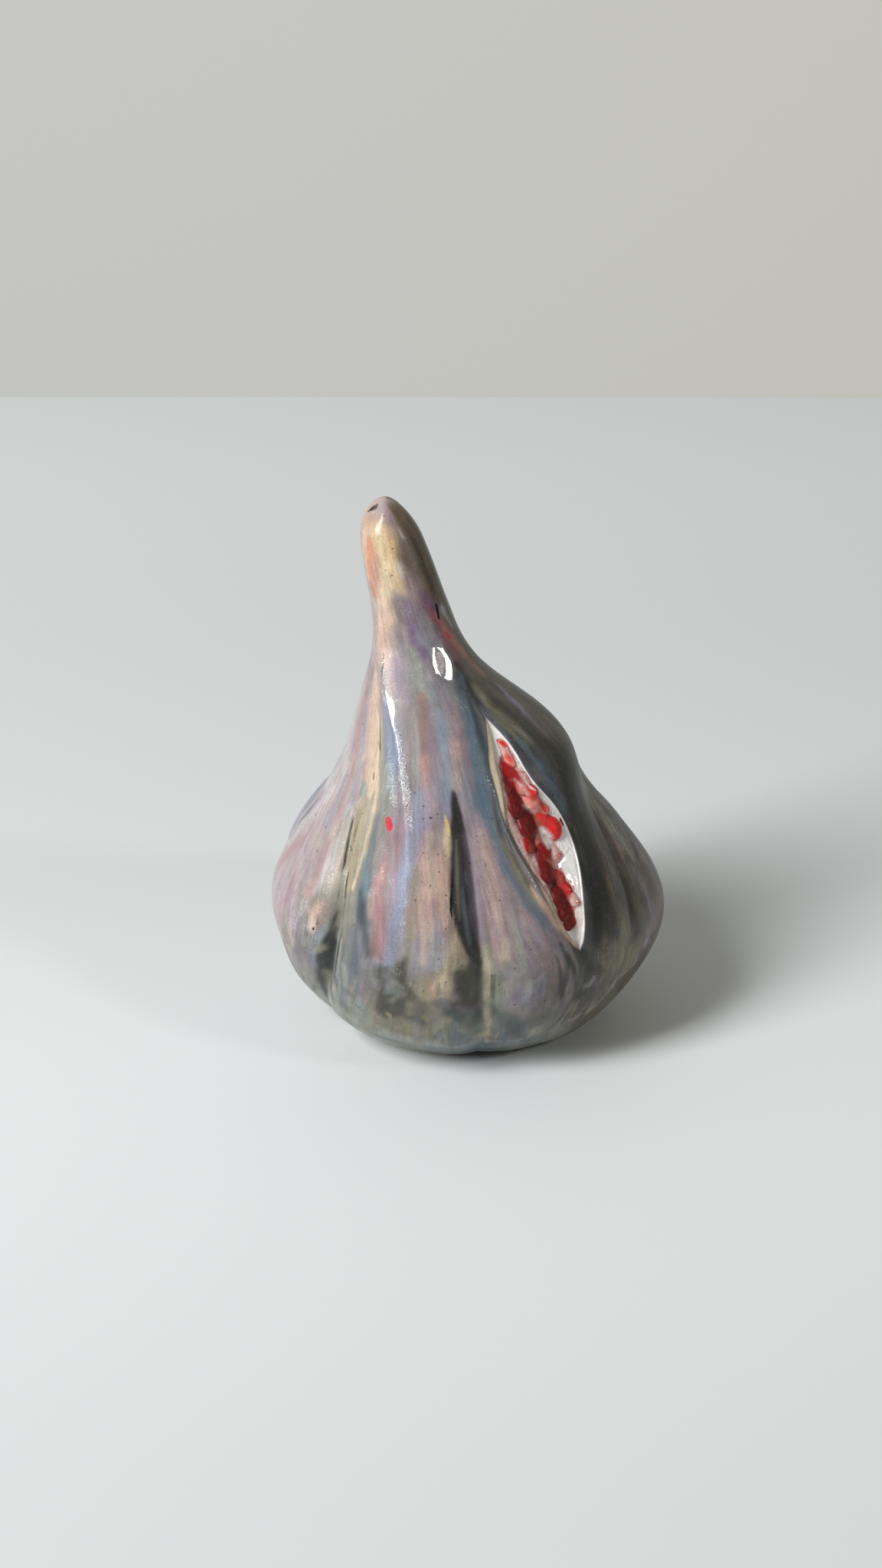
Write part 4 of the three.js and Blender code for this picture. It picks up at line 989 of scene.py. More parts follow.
# Glaze of the flesh and of the seeds, with the height of its drops in metres
FLESH_GLAZE = {"drop_height": 0.00007, "roughness": 0.24, "mirroring": 0.45}
SEED_GLAZE = {"drop_height": 0.00003, "roughness": 0.34, "mirroring": 0.25}

# Painted shade darkening the flesh at its left edge, under the lip, and the red around the
# seeds, by how far they rise
PAINTED_FLESH_SHADE = 0.7
PAINTED_FLESH_SHADE_WIDTH = 0.08
SEED_STAIN = 0.6
SEED_STAIN_FROM = (0.0, 0.2)

# How far the seeds rise where they turn uneven and where their dark rim ends, and how dark it is
SEED_LUMPS_FROM = (0.05, 0.4)
SEED_RIM_TO = (0.15, 0.45)
SEED_RIM_SHADE = 0.12

# Light values of small things: the seeds where their glaze is thin, the bare clay under the
# foot, which also stands for light bounced onto the rim, grains in the paint, pinholes, and
# painted glints, pale dots that stand for glaze catching the light
SEED_THIN_GLAZE = (0.50, 0.12, 0.10)
CLAY_SOLE_AND_PAINTED_GLOW = (0.62, 0.54, 0.44)
PALE_GRAIN = (0.42, 0.42, 0.39)
DARK_GRAIN = (0.05, 0.05, 0.045)
PINHOLE = (0.012, 0.012, 0.013)
PAINTED_GLINT = (0.72, 0.73, 0.74)

# Random strokes along the lobes: their number, the ranges that their sizes, their strength and
# their colour are drawn from, and their tints
THIN_STROKES = 1500
THIN_STARTS = (-2.0, 60.0)
THIN_LENGTHS = (3.0, 12.0)
THIN_BRIGHTNESS = (0.72, 1.18)
THIN_TINT_SHARES = (0.05, 0.3)
THIN_WIDTHS = (0.4, 1.2)
THIN_STRENGTHS = (0.3, 0.7)
BRIGHTEST_PAINT = 0.9
THIN_TINTS = (
    "lavender_grey", "teal_grey", "olive", "mauve_pink", "peach", "charcoal", "light_blue", "brick",
)

# Random dabs near the foot, given in the same way
FOOT_DABS = 700
DAB_HEIGHTS = (1.5, 16.0)
DAB_LENGTHS = (0.2, 1.8)
DAB_SLANTS = (-3, 3)
DAB_WIDTHS = (0.5, 1.3)
DAB_STRENGTHS = (0.15, 0.5)
FOOT_TINTS = (
    "olive_dark", "khaki", "teal_grey", "grey_green", "charcoal", "mauve_grey", "olive",
    "dark_teal",
)

# How the paint strays: the edges of strokes, the first coat across and along the lobes, and how
# much a step up counts in this against one sideways
STROKE_WOBBLE = ((0.9, 21, 1.0),)
DRIFT_ACROSS = ((1.8, 22, 3.6),)
DRIFT_ALONG = ((2.2, 23, 6.0),)
STRAY_RISE_SHARE = 0.5

# How the first coat spreads: how much a step up counts against one sideways, how sharply it
# falls off, and the least radius that distances are taken at
WASH_RISE_SHARE = 0.8
WASH_FALL = 1.6
LEAST_WASH_RADIUS = 7.0

# Strokes: how far above and below its path one is worked out, the radius that its path is
# measured at, and its softest edge as a share of its width. Its halo ends at a distance plus a
# share of its width, and this many times the cover under it hides it.
STROKE_REACH = 4.0
USUAL_RADIUS = 12
SOFTEST_SHARE = 0.45
HALO_REACH = 0.3
HALO_REACH_SHARE = 0.5
HALO_HIDING = 4

# A distance out of any stroke's reach, the usual strength and softness of the small marks, and
# the seed of the random strokes
FAR_AWAY = 1e3
MARK_STRENGTH = 1.0
MARK_SOFTNESS = 0.2
PAINT_SEED = 5

# Depths under the skin between which the split's paint and the ledge's brown line come in, the
# line being brown paint that is also painted shade where the ledge drops into the split, how
# well they cover, and heights between which the ledge turns from taupe to cream above and to
# peach below
SPLIT_PAINT_DEPTHS = (0.02, 0.12)
SPLIT_PAINT_COVER = 1.5
LEDGE_SHADE_LINE_DEPTHS = (0.2, 0.32)
LEDGE_SHADE_LINE_STRENGTH = 0.8
CREAM_LEDGE_FROM = (31.5, 34.5)
PEACH_LEDGE_BELOW = (26.5, 24.0)


def to_linear(colour):
    """Light values for a colour given in the eye's scale from 0 to 255."""
    share = np.asarray(colour, float) / 255
    return np.where(share <= 0.04045, share / 12.92, ((share + 0.055) / 1.055) ** 2.4)


class Canvas:
    """Paint on the points of a surface, in coats that the material lays over each other."""

    def __init__(self, angle, z, radius, lanes=None, base=None):
        self.angle = angle
        self.lanes = angle if lanes is None else np.broadcast_to(lanes, angle.shape)
        self.z = z
        self.radius = radius
        self.heights = z[:, 0]
        self.paints = {name: to_linear(value) for name, value in PAINTS.items()}
        turn = np.radians(angle)
        spread = np.stack([radius * np.sin(turn), radius * np.cos(turn), z * STRAY_RISE_SHARE], -1)
        self.wobble = lumps(spread, STROKE_WOBBLE)
        self.drift_across = lumps(spread, DRIFT_ACROSS)
        self.drift_along = lumps(spread, DRIFT_ALONG)
        self.wash = self.spread_washes() if base is None else base
        blank = np.concatenate([self.wash, np.zeros(angle.shape + (1,))], -1)
        self.coats = {name: blank.copy() for name in ("strokes", "marks", "gloss", "sparkle_and_glint")}

    def spread_washes(self):
        total = np.zeros(self.angle.shape + (3,))
        weights = np.zeros(self.angle.shape + (1,))
        radius = np.maximum(self.radius, LEAST_WASH_RADIUS)
        for angle, z, paint in WASHES:
            arc = arc_between(angle, self.angle, radius) + self.drift_across
            rise = (self.z - z + self.drift_along) * WASH_RISE_SHARE
            distance = np.hypot(arc, rise) / WASH_SPREAD
            weight = np.exp(-distance ** WASH_FALL)[..., None] + TINY / (1 + distance[..., None])
            total += weight * self.paints[paint]
            weights += weight
        return total / weights

    def brush(self, coat, colour, widths, path, strength=0.85, softness=0.6, in_lane=False):
        """Lays one stroke. Its colour also spreads thinly around it, under bare coats only.

        A stroke in a lane follows the lobe that it is on, and its path gives lanes and heights.
        """
        low = min(z for _, z in path) - STROKE_REACH
        high = max(z for _, z in path) + STROKE_REACH
        rows = slice(np.searchsorted(self.heights, low), np.searchsorted(self.heights, high))
        angle = (self.lanes if in_lane else self.angle)[rows]
        z = self.z[rows]
        radius = np.maximum(self.radius[rows], LEAST_RADIUS)
        widths = np.atleast_1d(widths)
        widest = float(widths.max())
        softness = min(softness, SOFTEST_SHARE * widest)

        pieces = list(zip(path[:-1], path[1:]))
        lengths = [0.0]
        for (a0, z0), (a1, z1) in pieces:
            lengths.append(lengths[-1] + math.hypot(math.radians(a1 - a0) * USUAL_RADIUS, z1 - z0))
        best = np.full(angle.shape, FAR_AWAY)
        for index, (start, end) in enumerate(pieces):
            share, distance = nearest_on_piece(start, end, angle, z, radius)
            along = (lengths[index] + share * (lengths[index + 1] - lengths[index])) / lengths[-1]
            width = np.interp(along, np.linspace(0, 1, len(widths)), widths)
            best = np.minimum(best, distance - width / 2)
        best = best + self.wobble[rows] * softness

        mask = strength * (1 - smooth_step(-softness, softness, best))[..., None]
        halo = (1 - smooth_step(0, HALO_REACH + HALO_REACH_SHARE * widest, best))[..., None]
        layer = self.coats[coat][rows]
        weight = np.maximum(mask, halo * (1 - np.clip(layer[..., 3:] * HALO_HIDING, 0, 1)))
        layer[..., :3] += (colour - layer[..., :3]) * weight
        layer[..., 3:] = mask + layer[..., 3:] * (1 - mask)

    def brush_all(self, coat, strokes):
        for paint, widths, path, *rest in strokes:
            self.brush(coat, self.paints[paint], widths, path, *rest)

    def pool_all(self, coat, places):
        """Marks places of the glaze, whose colour doesn't matter."""
        self.brush_all(coat, [("ivory", *place) for place in places])

    def veil(self, paint, angle, z, half_width, half_height, strength):
        """Tints everything that is painted so far around one place."""
        arc = arc_between(angle, self.angle, np.maximum(self.radius, LEAST_RADIUS)) / half_width
        share = strength * np.exp(-(arc ** 2 + ((self.z - z) / half_height) ** 2))[..., None]
        for layer in (self.wash, self.coats["strokes"][..., :3]):
            layer += (self.paints[paint] - layer) * share

    def paint_all(self):
        rng = np.random.default_rng(PAINT_SEED)
        self.fill_with_strokes(rng)
        self.brush_all("strokes", STROKES)
        self.dab_foot(rng)
        for place in VEILS:
            self.veil(*place)
        for paint, widths, path, *rest in MARKS:
            strength = rest[0] if rest else MARK_STRENGTH
            self.brush("marks", self.paints[paint], widths, path, strength, MARK_SOFTNESS)
        self.pool_all("gloss", GLAZE_POOLS)
        self.pool_all("sparkle_and_glint", SPARKLE_AND_GLINT_PLACES)

    def line_split(self, depth):
        """White on the split's walls. The left one has a pale ledge that ends in a brown line,
        which is also painted shade where the ledge drops into the split.
        """
        layer = self.coats["strokes"]
        inside = smooth_step(*SPLIT_PAINT_DEPTHS, depth)[..., None]
        left = (self.angle < CREASE_ANGLES[SPLIT_CREASE](self.z))[..., None]
        high = smooth_step(*CREAM_LEDGE_FROM, self.z)[..., None]
        low = smooth_step(*PEACH_LEDGE_BELOW, self.z)[..., None]
        ledge = self.paints["taupe"] * (1 - high - low)
        ledge = ledge + self.paints["ledge_cream"] * high + self.paints["peach"] * low
        wall = np.where(left, ledge, self.paints["flesh_white"])
        layer[..., :3] += (wall - layer[..., :3]) * inside
        layer[..., 3:] = np.maximum(layer[..., 3:], inside * SPLIT_PAINT_COVER)
        # Brown line at the ledge's drop, partly painted shade
        line = smooth_step(*LEDGE_SHADE_LINE_DEPTHS, depth)[..., None] * LEDGE_SHADE_LINE_STRENGTH * left
        layer[..., :3] += (self.paints["brown"] - layer[..., :3]) * line

    def fill_with_strokes(self, rng):
        """Thin strokes along the lobes, in tints of the first coat under them."""
        rows, columns = self.angle.shape
        for _ in range(THIN_STROKES):
            column = int(rng.integers(columns))
            start = rng.uniform(*THIN_STARTS)
            length = rng.uniform(*THIN_LENGTHS)
            first = int(np.searchsorted(self.heights, start))
            last = min(int(np.searchsorted(self.heights, start + length)), rows - 1)
            lane = float(self.lanes[0, column])
            path = [(lane, float(self.heights[row])) for row in (first, last)]
            under = self.wash[(first + last) // 2, column]
            tint = self.paints[THIN_TINTS[int(rng.integers(len(THIN_TINTS)))]]
            bright = rng.uniform(*THIN_BRIGHTNESS)
            share = rng.uniform(*THIN_TINT_SHARES)
            colour = np.clip((under + (tint - under) * share) * bright, 0, BRIGHTEST_PAINT)
            width = rng.uniform(*THIN_WIDTHS)
            strength = rng.uniform(*THIN_STRENGTHS)
            widths = (width * 0.5, width, width * 0.5)
            self.brush("strokes", colour, widths, path, strength, in_lane=True)

    def dab_foot(self, rng):
        """Short dabs that mottle the lowest part."""
        for _ in range(FOOT_DABS):
            turn = rng.uniform(-180, 180)
            z = rng.uniform(*DAB_HEIGHTS)
            long = rng.uniform(*DAB_LENGTHS)
            slant = rng.uniform(*DAB_SLANTS)
            tint = self.paints[FOOT_TINTS[int(rng.integers(len(FOOT_TINTS)))]]
            width = rng.uniform(*DAB_WIDTHS)
            path = [(turn, z), (turn + slant, z + long)]
            strength = rng.uniform(*DAB_STRENGTHS)
            self.brush("strokes", tint, width, path, strength, in_lane=True)


# Shader writing

class Wire:
    """A node's output that takes part in Python arithmetic."""

    def __init__(self, shader, socket):
        self.shader = shader
        self.socket = socket

    def math(self, operation, *values):
        return self.shader.node("ShaderNodeMath", {"operation": operation}, dict(enumerate(values)))

    def __add__(self, other):
        return self.math("ADD", self, other)

    def __radd__(self, other):
        return self.math("ADD", other, self)

    def __sub__(self, other):
        return self.math("SUBTRACT", self, other)

    def __rsub__(self, other):
        return self.math("SUBTRACT", other, self)

    def __mul__(self, other):
        return self.math("MULTIPLY", self, other)

    def __rmul__(self, other):
        return self.math("MULTIPLY", other, self)

    def above(self, edge):
        return self.math("GREATER_THAN", self, edge)

    def at_least(self, other):
        return self.math("MAXIMUM", self, other)

    def step(self, start, end):
        """Rises smoothly from 0 at start to 1 at end."""
        settings = {"interpolation_type": "SMOOTHSTEP"}
        values = {"Value": self, "From Min": start, "From Max": end, "To Min": 0.0, "To Max": 1.0}
        return self.shader.node("ShaderNodeMapRange", settings, values)


class Shader:
    """The nodes of one material or world."""

    def __init__(self, tree):
        self.tree = tree
        tree.nodes.clear()

    def node(self, kind, settings, inputs, output=0):
        made = self.tree.nodes.new(kind)
        for name, value in settings.items():
            setattr(made, name, value)
        for key, value in inputs.items():
            if isinstance(value, Wire):
                self.tree.links.new(value.socket, made.inputs[key])
            else:
                made.inputs[key].default_value = value
        return Wire(self, made.outputs[output]) if made.outputs else None

    def attribute(self, name, output):
        settings = {"attribute_type": "GEOMETRY", "attribute_name": name}
        return self.node("ShaderNodeAttribute", settings, {}, output)

    def mix(self, factor, a, b, blend="MIX"):
        settings = {"data_type": "RGBA", "blend_type": blend}
        return self.node("ShaderNodeMix", settings, {0: factor, 6: a, 7: b}, 2)

    def vector(self, operation, inputs, output=0):
        return self.node("ShaderNodeVectorMath", {"operation": operation}, inputs, output)

    def scaled(self, vector, factors):
        return self.vector("MULTIPLY", {0: vector, 1: factors})

    def dimmed(self, colour, tone):
        return self.vector("SCALE", {0: colour, "Scale": tone})

    def coordinate(self, vector, axis):
        return self.node("ShaderNodeSeparateXYZ", {}, {0: vector}, axis)

    def place(self):
        """Position on the object, in metres."""
        return self.node("ShaderNodeTexCoord", {}, {}, 3)

    def noise(self, vector, scale, detail, roughness=0.55, output=0):
        values = {"Vector": vector, "Scale": scale, "Detail": detail, "Roughness": roughness}
        return self.node("ShaderNodeTexNoise", {}, values, output)

    def spots(self, vector, scale, output=0):
        return self.node("ShaderNodeTexVoronoi", {}, {"Vector": vector, "Scale": scale}, output)

    def bump(self, height, distance):
        values = {"Strength": 1.0, "Distance": distance, "Height": height}
        return self.node("ShaderNodeBump", {}, values)

    def surface(self, inputs):
        principled = self.node("ShaderNodeBsdfPrincipled", {}, inputs)
        self.node("ShaderNodeOutputMaterial", {}, {"Surface": principled})


def opaque(colour):
    return (*colour, 1.0)


def grey(value):
    return opaque((value, value, value))


def new_material(name):
    material = bpy.data.materials.new(name)
    material.use_nodes = True
    return material, Shader(material.node_tree)


# Heights between which the neck's hairs, the stem's satin and the glaze above the foot come in
NECK_FROM = (38.0, 47.0)
STEM_FROM = (47.0, 56.0)
GLAZE_FROM = (0.2, 0.75)


def skin_material(look):
    """Brushed paint under a glaze that is glassy in pools, satin on the stem and grainy below."""
    material, shader = new_material("painted_skin_glaze")
    flow = shader.attribute("flow", 1)
    position = shader.scaled(shader.place(), MILLIMETRES_PER_METRE)
    height = shader.coordinate(position, 2)
    on_neck = height.step(*NECK_FROM)

    # Brush hairs: fine across the lobes, drawn out along them
    body_hairs = shader.noise(shader.scaled(flow, (18.0, 18.0, 0.10)), 1.9, 5.0, 0.7)
    neck_hairs = shader.noise(shader.scaled(flow, (5.5, 5.5, 0.14)), 2.4, 5.0, 0.7)
    hairs = body_hairs * (1 - on_neck) + neck_hairs * on_neck
    blots = shader.noise(position, 0.5, 4.0, 0.6)
    grain = shader.noise(position, 4.6, 2.0, 0.7)
    ragged = (hairs - 0.5) * 1.5 + (grain - 0.5) * 1.1 + (blots - 0.5) * 0.6

    stroke_cover = (shader.attribute("strokes", 3) + ragged).step(0.05, 0.95)
    mark_cover = (shader.attribute("marks", 3) + ragged * 0.35).step(0.3, 0.7)
    colour = shader.mix(stroke_cover, shader.attribute("wash", 0), shader.attribute("strokes", 0))
    colour = shader.mix(mark_cover, colour, shader.attribute("marks", 0))

    # Tints that differ from hair to hair, uneven thickness of paint, and powdery grains
    tints = shader.noise(shader.scaled(flow, (14.0, 14.0, 0.12)), 1.3, 3.0, 0.6, 1)
    colour = shader.mix(look.tint_contrast, colour, tints, "OVERLAY")
    streaks = (hairs - 0.5) * look.hair_contrast + 1.0
    mottle = (blots - 0.5) * 0.6 + 1.0
    dust = (grain - 0.5) * look.grain_contrast + 1.0
    colour = shader.dimmed(colour, streaks * mottle * dust)
    pale_grains = grain.step(0.58, 0.72) * blots.step(0.4, 0.65) * 0.3
    colour = shader.mix(pale_grains, colour, opaque(PALE_GRAIN))
    dark_grains = (1 - grain.step(0.26, 0.4)) * (1 - blots.step(0.38, 0.5)) * 0.3
    colour = shader.mix(dark_grains, colour, opaque(DARK_GRAIN))

    # Pinholes, in one spot of every five or six
    cells = shader.spots(position, 1.1)
    chance = shader.node("ShaderNodeSeparateColor", {}, {0: shader.spots(position, 1.1, 1)}, 0)
    pinholes = (1 - cells.step(0.07, 0.17)) * chance.above(0.82)
    colour = shader.mix(pinholes * 0.8, colour, opaque(PINHOLE))

    # Painted highlights: pale glints painted into the colour where the glaze glitters
    sparkle_and_glint = (shader.attribute("sparkle_and_glint", 3) + (blots - 0.5) * 0.8).step(0.1, 0.9)
    glint_grain = shader.noise(position, 6.5, 2.0, 0.7)
    painted_glints = (glint_grain + sparkle_and_glint * 0.16).step(0.62, 0.74) * sparkle_and_glint.step(0.0, 0.3)
    colour = shader.mix(painted_glints * 0.8, colour, opaque(PAINTED_GLINT))

    # Bare clay under the foot, reaching up the rim as a pale band that is painted light bounced
    # from the table
    sole = 1 - height.step(*GLAZE_FROM)
    colour = shader.mix(sole * 0.85, colour, opaque(CLAY_SOLE_AND_PAINTED_GLOW))

    stem = height.step(*STEM_FROM)
    pool = shader.attribute("gloss", 3) + (grain - 0.5) * 0.8 + (hairs - 0.5) * 0.5
    pool = pool.step(0.38, 0.6)
    relief = grain * (sparkle_and_glint * 1.8 + 0.9) + hairs * 0.5
    relief = relief * (1 - stem * 0.6) * (1 - pool * 0.85) + blots * 0.5
    bright_grains = grain.step(0.57, 0.66) * (1 - stem) * (sparkle_and_glint * 0.8 + 0.2)
    shader.surface({
        "Base Color": colour,
        "Roughness": (1 - stem * 0.35) * look.roughness + grain * 0.06 + sole * 0.4,
        "Normal": shader.bump(relief, look.glaze_relief),
        "IOR": 1.45,
        "Coat Weight": pool.at_least(bright_grains),
        "Coat Roughness": 0.05,
        "Coat IOR": 1.75,
    })
    return material


def split_material(name, tint, drop_height, roughness, mirroring):
    """Glossy glaze over the paint of the split's sheets, uneven where it is thin."""
    material, shader = new_material(name)
    position = shader.scaled(shader.place(), MILLIMETRES_PER_METRE)
    blots = shader.noise(position, 1.1, 3.0, 0.6)
    fine = shader.noise(position, 4.5, 3.0, 0.6)
    drops = shader.noise(position, 2.4, 1.0, 0.5)
    ragged = (blots - 0.5) * 1.0 + (fine - 0.5) * 0.7
    cover = (shader.attribute("strokes", 3) + ragged).step(0.25, 0.75)
    colour = shader.mix(cover, shader.attribute("wash", 0), shader.attribute("strokes", 0))
    thin = (blots + (fine - 0.5) * 0.5).step(0.58, 0.72) * 0.22
    colour = shader.mix(thin, colour, opaque(tint))
    tone = (fine - 0.5) * 0.3 + (drops - 0.5) * 0.2 + 1.0
    shader.surface({
        "Base Color": shader.dimmed(colour, tone),
        "Roughness": fine * 0.12 + roughness,
        "Normal": shader.bump(drops + fine * 0.25, drop_height),
        "IOR": 1.5,
        "Specular IOR Level": mirroring,
        "Coat Weight": (shader.attribute("gloss", 3) + drops - 0.5).step(0.45, 0.7),
        "Coat Roughness": 0.05,
        "Coat IOR": 1.5,
    })
    return material


# Meshes

def place_object(name, data):
    made = bpy.data.objects.new(name, data)
    bpy.context.scene.collection.objects.link(made)
    return made


def mesh_object(name, points, faces, material):
    mesh = bpy.data.meshes.new(name)
    mesh.from_pydata((np.asarray(points) * MILLIMETRE).tolist(), [], faces)
    mesh.materials.append(material)
    mesh.shade_smooth()
    mesh.update()
    return place_object(name, mesh)


def add_colours(made, name, colours):
    """Keeps a colour, with its cover in the fourth number, for every point of a mesh."""
    colours = np.asarray(colours, np.float32)
    colours = colours.reshape(-1, colours.shape[-1])
    if colours.shape[1] == 3:
        colours = np.hstack([colours, np.ones((len(colours), 1), np.float32)])
    layer = made.data.attributes.new(name, "FLOAT_COLOR", "POINT")
    layer.data.foreach_set("color", colours.ravel())


def grid_faces(rows, columns, start=0, closed=True):
    """Four-sided faces between the rows of a grid, wound outwards."""
    faces = []
    for row in range(rows - 1):
        here = start + row * columns
        above = here + columns
        for column in range(columns if closed else columns - 1):
            after = (column + 1) % columns
            faces.append((here + column, here + after, above + after, above + column))
    return faces


def along_surface(heights):
    """Distance up the front of the body to each height."""
    radius = skin_radius(np.full(len(heights), FRONT_LINE_ANGLE), heights)
    steps = np.hypot(np.diff(heights), np.diff(radius))
    return np.concatenate([[0.0], np.cumsum(steps)])


def build_skin(look):
    heights = body_heights()
    angle, depth, lanes = skin_columns(heights)
    z = np.broadcast_to(heights[:, None], angle.shape)
    plain = skin_radius(angle, z)
    points = surface_point(angle, z, plain)
    relief = fine_relief(angle, z, np.maximum(plain, LEAST_RADIUS), points) * look.hand_relief
    radius = rub_flat(angle, z, plain + relief) - depth
    points = surface_point(angle, z, radius)
    rows, columns = angle.shape

    canvas = Canvas(angle, z, plain, lanes)
    canvas.paint_all()
    canvas.line_split(depth)
    turn = np.radians(lanes)
    along = along_surface(heights)
    flow = np.stack([
        np.broadcast_to(np.sin(turn), angle.shape),
        np.broadcast_to(-np.cos(turn), angle.shape),
        np.broadcast_to(along[:, None], angle.shape),
    ], -1)

    # Rings under the foot, from the middle outwards, then the body's rows, then the tip
    ring_shares = np.arange(1, SOLE_RINGS) / SOLE_RINGS
    sole = np.concatenate([points[0] * np.array([share, share, 1.0]) for share in ring_shares])
    middle = np.zeros((1, 3))
    tip = surface_point(np.array([0.0]), np.array([FIG_HEIGHT]), np.array([0.0]))
    everything = np.concatenate([middle, sole, points.reshape(-1, 3), tip])
    total_rows = rows + SOLE_RINGS - 1
    faces = grid_faces(total_rows, columns, 1)
    last = 1 + (total_rows - 1) * columns
    for column in range(columns):
        after = (column + 1) % columns
        faces.append((0, 1 + after, 1 + column))
        faces.append((len(everything) - 1, last + column, last + after))
    made = mesh_object("painted_skin", everything, faces, skin_material(look))

    def whole(values):
        """The values of the grid, with those of the lowest row for the sole's points."""
        size = values.shape[-1]
        foot = values[0].reshape(-1, size)
        rings = [foot] * (SOLE_RINGS - 1)
        return np.concatenate([foot[:1], *rings, values.reshape(-1, size), values[-1][:1]])

    for name, values in {"wash": canvas.wash, **canvas.coats}.items():
        add_colours(made, name, whole(values))
    layer = made.data.attributes.new("flow", "FLOAT_VECTOR", "POINT")
    layer.data.foreach_set("vector", whole(flow).astype(np.float32).ravel())
    return made


def split_share(z):
    return (z - SPLIT_HEIGHTS[0]) / (SPLIT_HEIGHTS[-1] - SPLIT_HEIGHTS[0])


def flesh_recess(z, across):
    """Depth of the flesh under the skin: shallow at the right, hollow left of the middle."""
    hollow = np.sin(np.pi * np.clip(across, 0, 1) ** HOLLOW_LEAN)
    ends = np.sqrt(np.clip(np.sin(np.pi * np.clip(split_share(z), 0, 1)), 0, 1))
    right = smooth_step(*FLESH_RISES_FROM, across)
    return FLESH_RECESS - FLESH_RIGHT_RISE * right + FLESH_HOLLOW * hollow * ends


def seed_swell(angle, z, radius):
    """How far the seeds rise above the flesh, melted into each other, and each seed's share."""
    nearness = []
    for seed_angle, seed_z, width in SEEDS:
        half = width / 2 * SEED_FULLNESS
        arc = arc_between(seed_angle, angle, radius) / half
        rise = (z - seed_z) * SLOPE_LENGTH / (half * SEED_LENGTH)
        away = arc * arc + rise * rise
        cap = SEED_THICKNESS * half * np.sqrt(np.clip(1 - away, 0, 1))
        cap = cap - SEED_FALL * np.clip(away - 1, 0, 20)
        nearness.append(np.exp(SEED_SHARPNESS * cap))
    total = sum(nearness)
    shares = [near / (total + SEED_PAINT_EDGE) for near in nearness]
    return np.log(1 + total) / SEED_SHARPNESS, shares


def split_sheet(rows, columns, end_inset):
    """Angles, heights and shares across of a sheet between the split's edges."""
    bottom = SPLIT_HEIGHTS[0] + end_inset
    top = SPLIT_HEIGHTS[-1] - end_inset
    z = (bottom + (top - bottom) * np.linspace(0, 1, rows))[:, None]
    across = np.linspace(0, 1, columns)[None, :] + 0 * z
    half = split_half_width(z) * SHEET_SHARE
    angle = CREASE_ANGLES[SPLIT_CREASE](z) + half * (2 * across - 1)
    return angle, z + 0 * angle, across


def closed_sheet(name, angle, z, across, depths, material):
    """A body between the front and the back of a sheet, at two depths under the skin."""
    skin = skin_radius(angle, z)
    front_depth, back_depth = depths
    front = surface_point(angle, z, skin - front_depth)
    back = surface_point(angle, z, skin - back_depth + SHEET_BACK_CURVE * np.abs(2 * across - 1))
    ring = np.concatenate([front, back[:, ::-1]], 1)
    rows, count = ring.shape[:2]
    faces = grid_faces(rows, count)
    faces.append(tuple(range(count))[::-1])
    faces.append(tuple((rows - 1) * count + column for column in range(count)))
    return mesh_object(name, ring.reshape(-1, 3), faces, material)


def paint_sheet(made, canvas, strokes):
    canvas.brush_all("strokes", strokes)
    canvas.pool_all("gloss", SPLIT_POOLS)
    coats = {"wash": canvas.wash, **canvas.coats}
    for name in ("wash", "strokes", "gloss"):
        add_colours(made, name, np.concatenate([coats[name], coats[name][:, ::-1]], 1))


def build_flesh(look):
    angle, z, across = split_sheet(*FLESH_GRID)
    skin = skin_radius(angle, z)
    uneven = lumps(surface_point(angle, z, skin), FLESH_LUMPS)
    edge = smooth_step(0, FLESH_EDGE, across) * smooth_step(1, 1 - FLESH_EDGE, across)
    rise, _ = seed_swell(angle, z, skin)
    recess = flesh_recess(z, across) + (uneven - np.minimum(rise, MOST_SEED_LIFT)) * edge
    glaze = split_material("white_flesh_glaze", look.flesh_colour, **FLESH_GLAZE)
    made = closed_sheet("glazed_flesh", angle, z, across, (recess, FLESH_BACK_DEPTH), glaze)

    white = to_linear(PAINTS["flesh_white"])
    shade = to_linear(PAINTS["flesh_shade"])
    # The flesh darkens towards its left edge as painted shade
    painted_edge_shade = PAINTED_FLESH_SHADE * np.exp(-(across / PAINTED_FLESH_SHADE_WIDTH) ** 2)[..., None]
    canvas = Canvas(angle, z, skin, base=white + (shade - white) * painted_edge_shade)
    layer = canvas.coats["strokes"]
    layer[..., :3] = np.array(look.seed_colour)
    layer[..., 3:] = smooth_step(*SEED_STAIN_FROM, rise)[..., None] * SEED_STAIN
    paint_sheet(made, canvas, FLESH_STROKES + SEED_STROKES)
    return made


def build_seeds(look):
    angle, z, across = split_sheet(*SEED_GRID)
    skin = skin_radius(angle, z)
    rise, shares = seed_swell(angle, z, skin)
    uneven = lumps(surface_point(angle, z, skin), SEED_LUMPS)
    uneven = uneven * smooth_step(*SEED_LUMPS_FROM, rise)
    recess = flesh_recess(z, across) - rise - uneven + SEED_SHEET_DEPTH
    glaze = split_material("red_seed_glaze", SEED_THIN_GLAZE, **SEED_GLAZE)
    made = closed_sheet("glazed_seeds", angle, z, across, (recess, SEED_BACK_DEPTH), glaze)

    base = np.empty(angle.shape + (3,))
    base[...] = to_linear(PAINTS["seed_pink"])
    for share, paint in zip(shares, SEED_PAINTS):
        base += (to_linear(PAINTS[paint]) - base) * share[..., None]
    rim = (1 - smooth_step(*SEED_RIM_TO, rise))[..., None]
    canvas = Canvas(angle, z, skin, base=base * (1 - SEED_RIM_SHADE * rim))
    paint_sheet(made, canvas, SEED_STROKES)
    return made


# Stage

CAMERA_TARGET = (-0.0034, 0.0, 0.030)
CAMERA_DISTANCE = 0.401
CAMERA_ELEVATION = 26.0
CAMERA_VIEW_ANGLE = 27.0
CAMERA_CLIP_START = 0.01

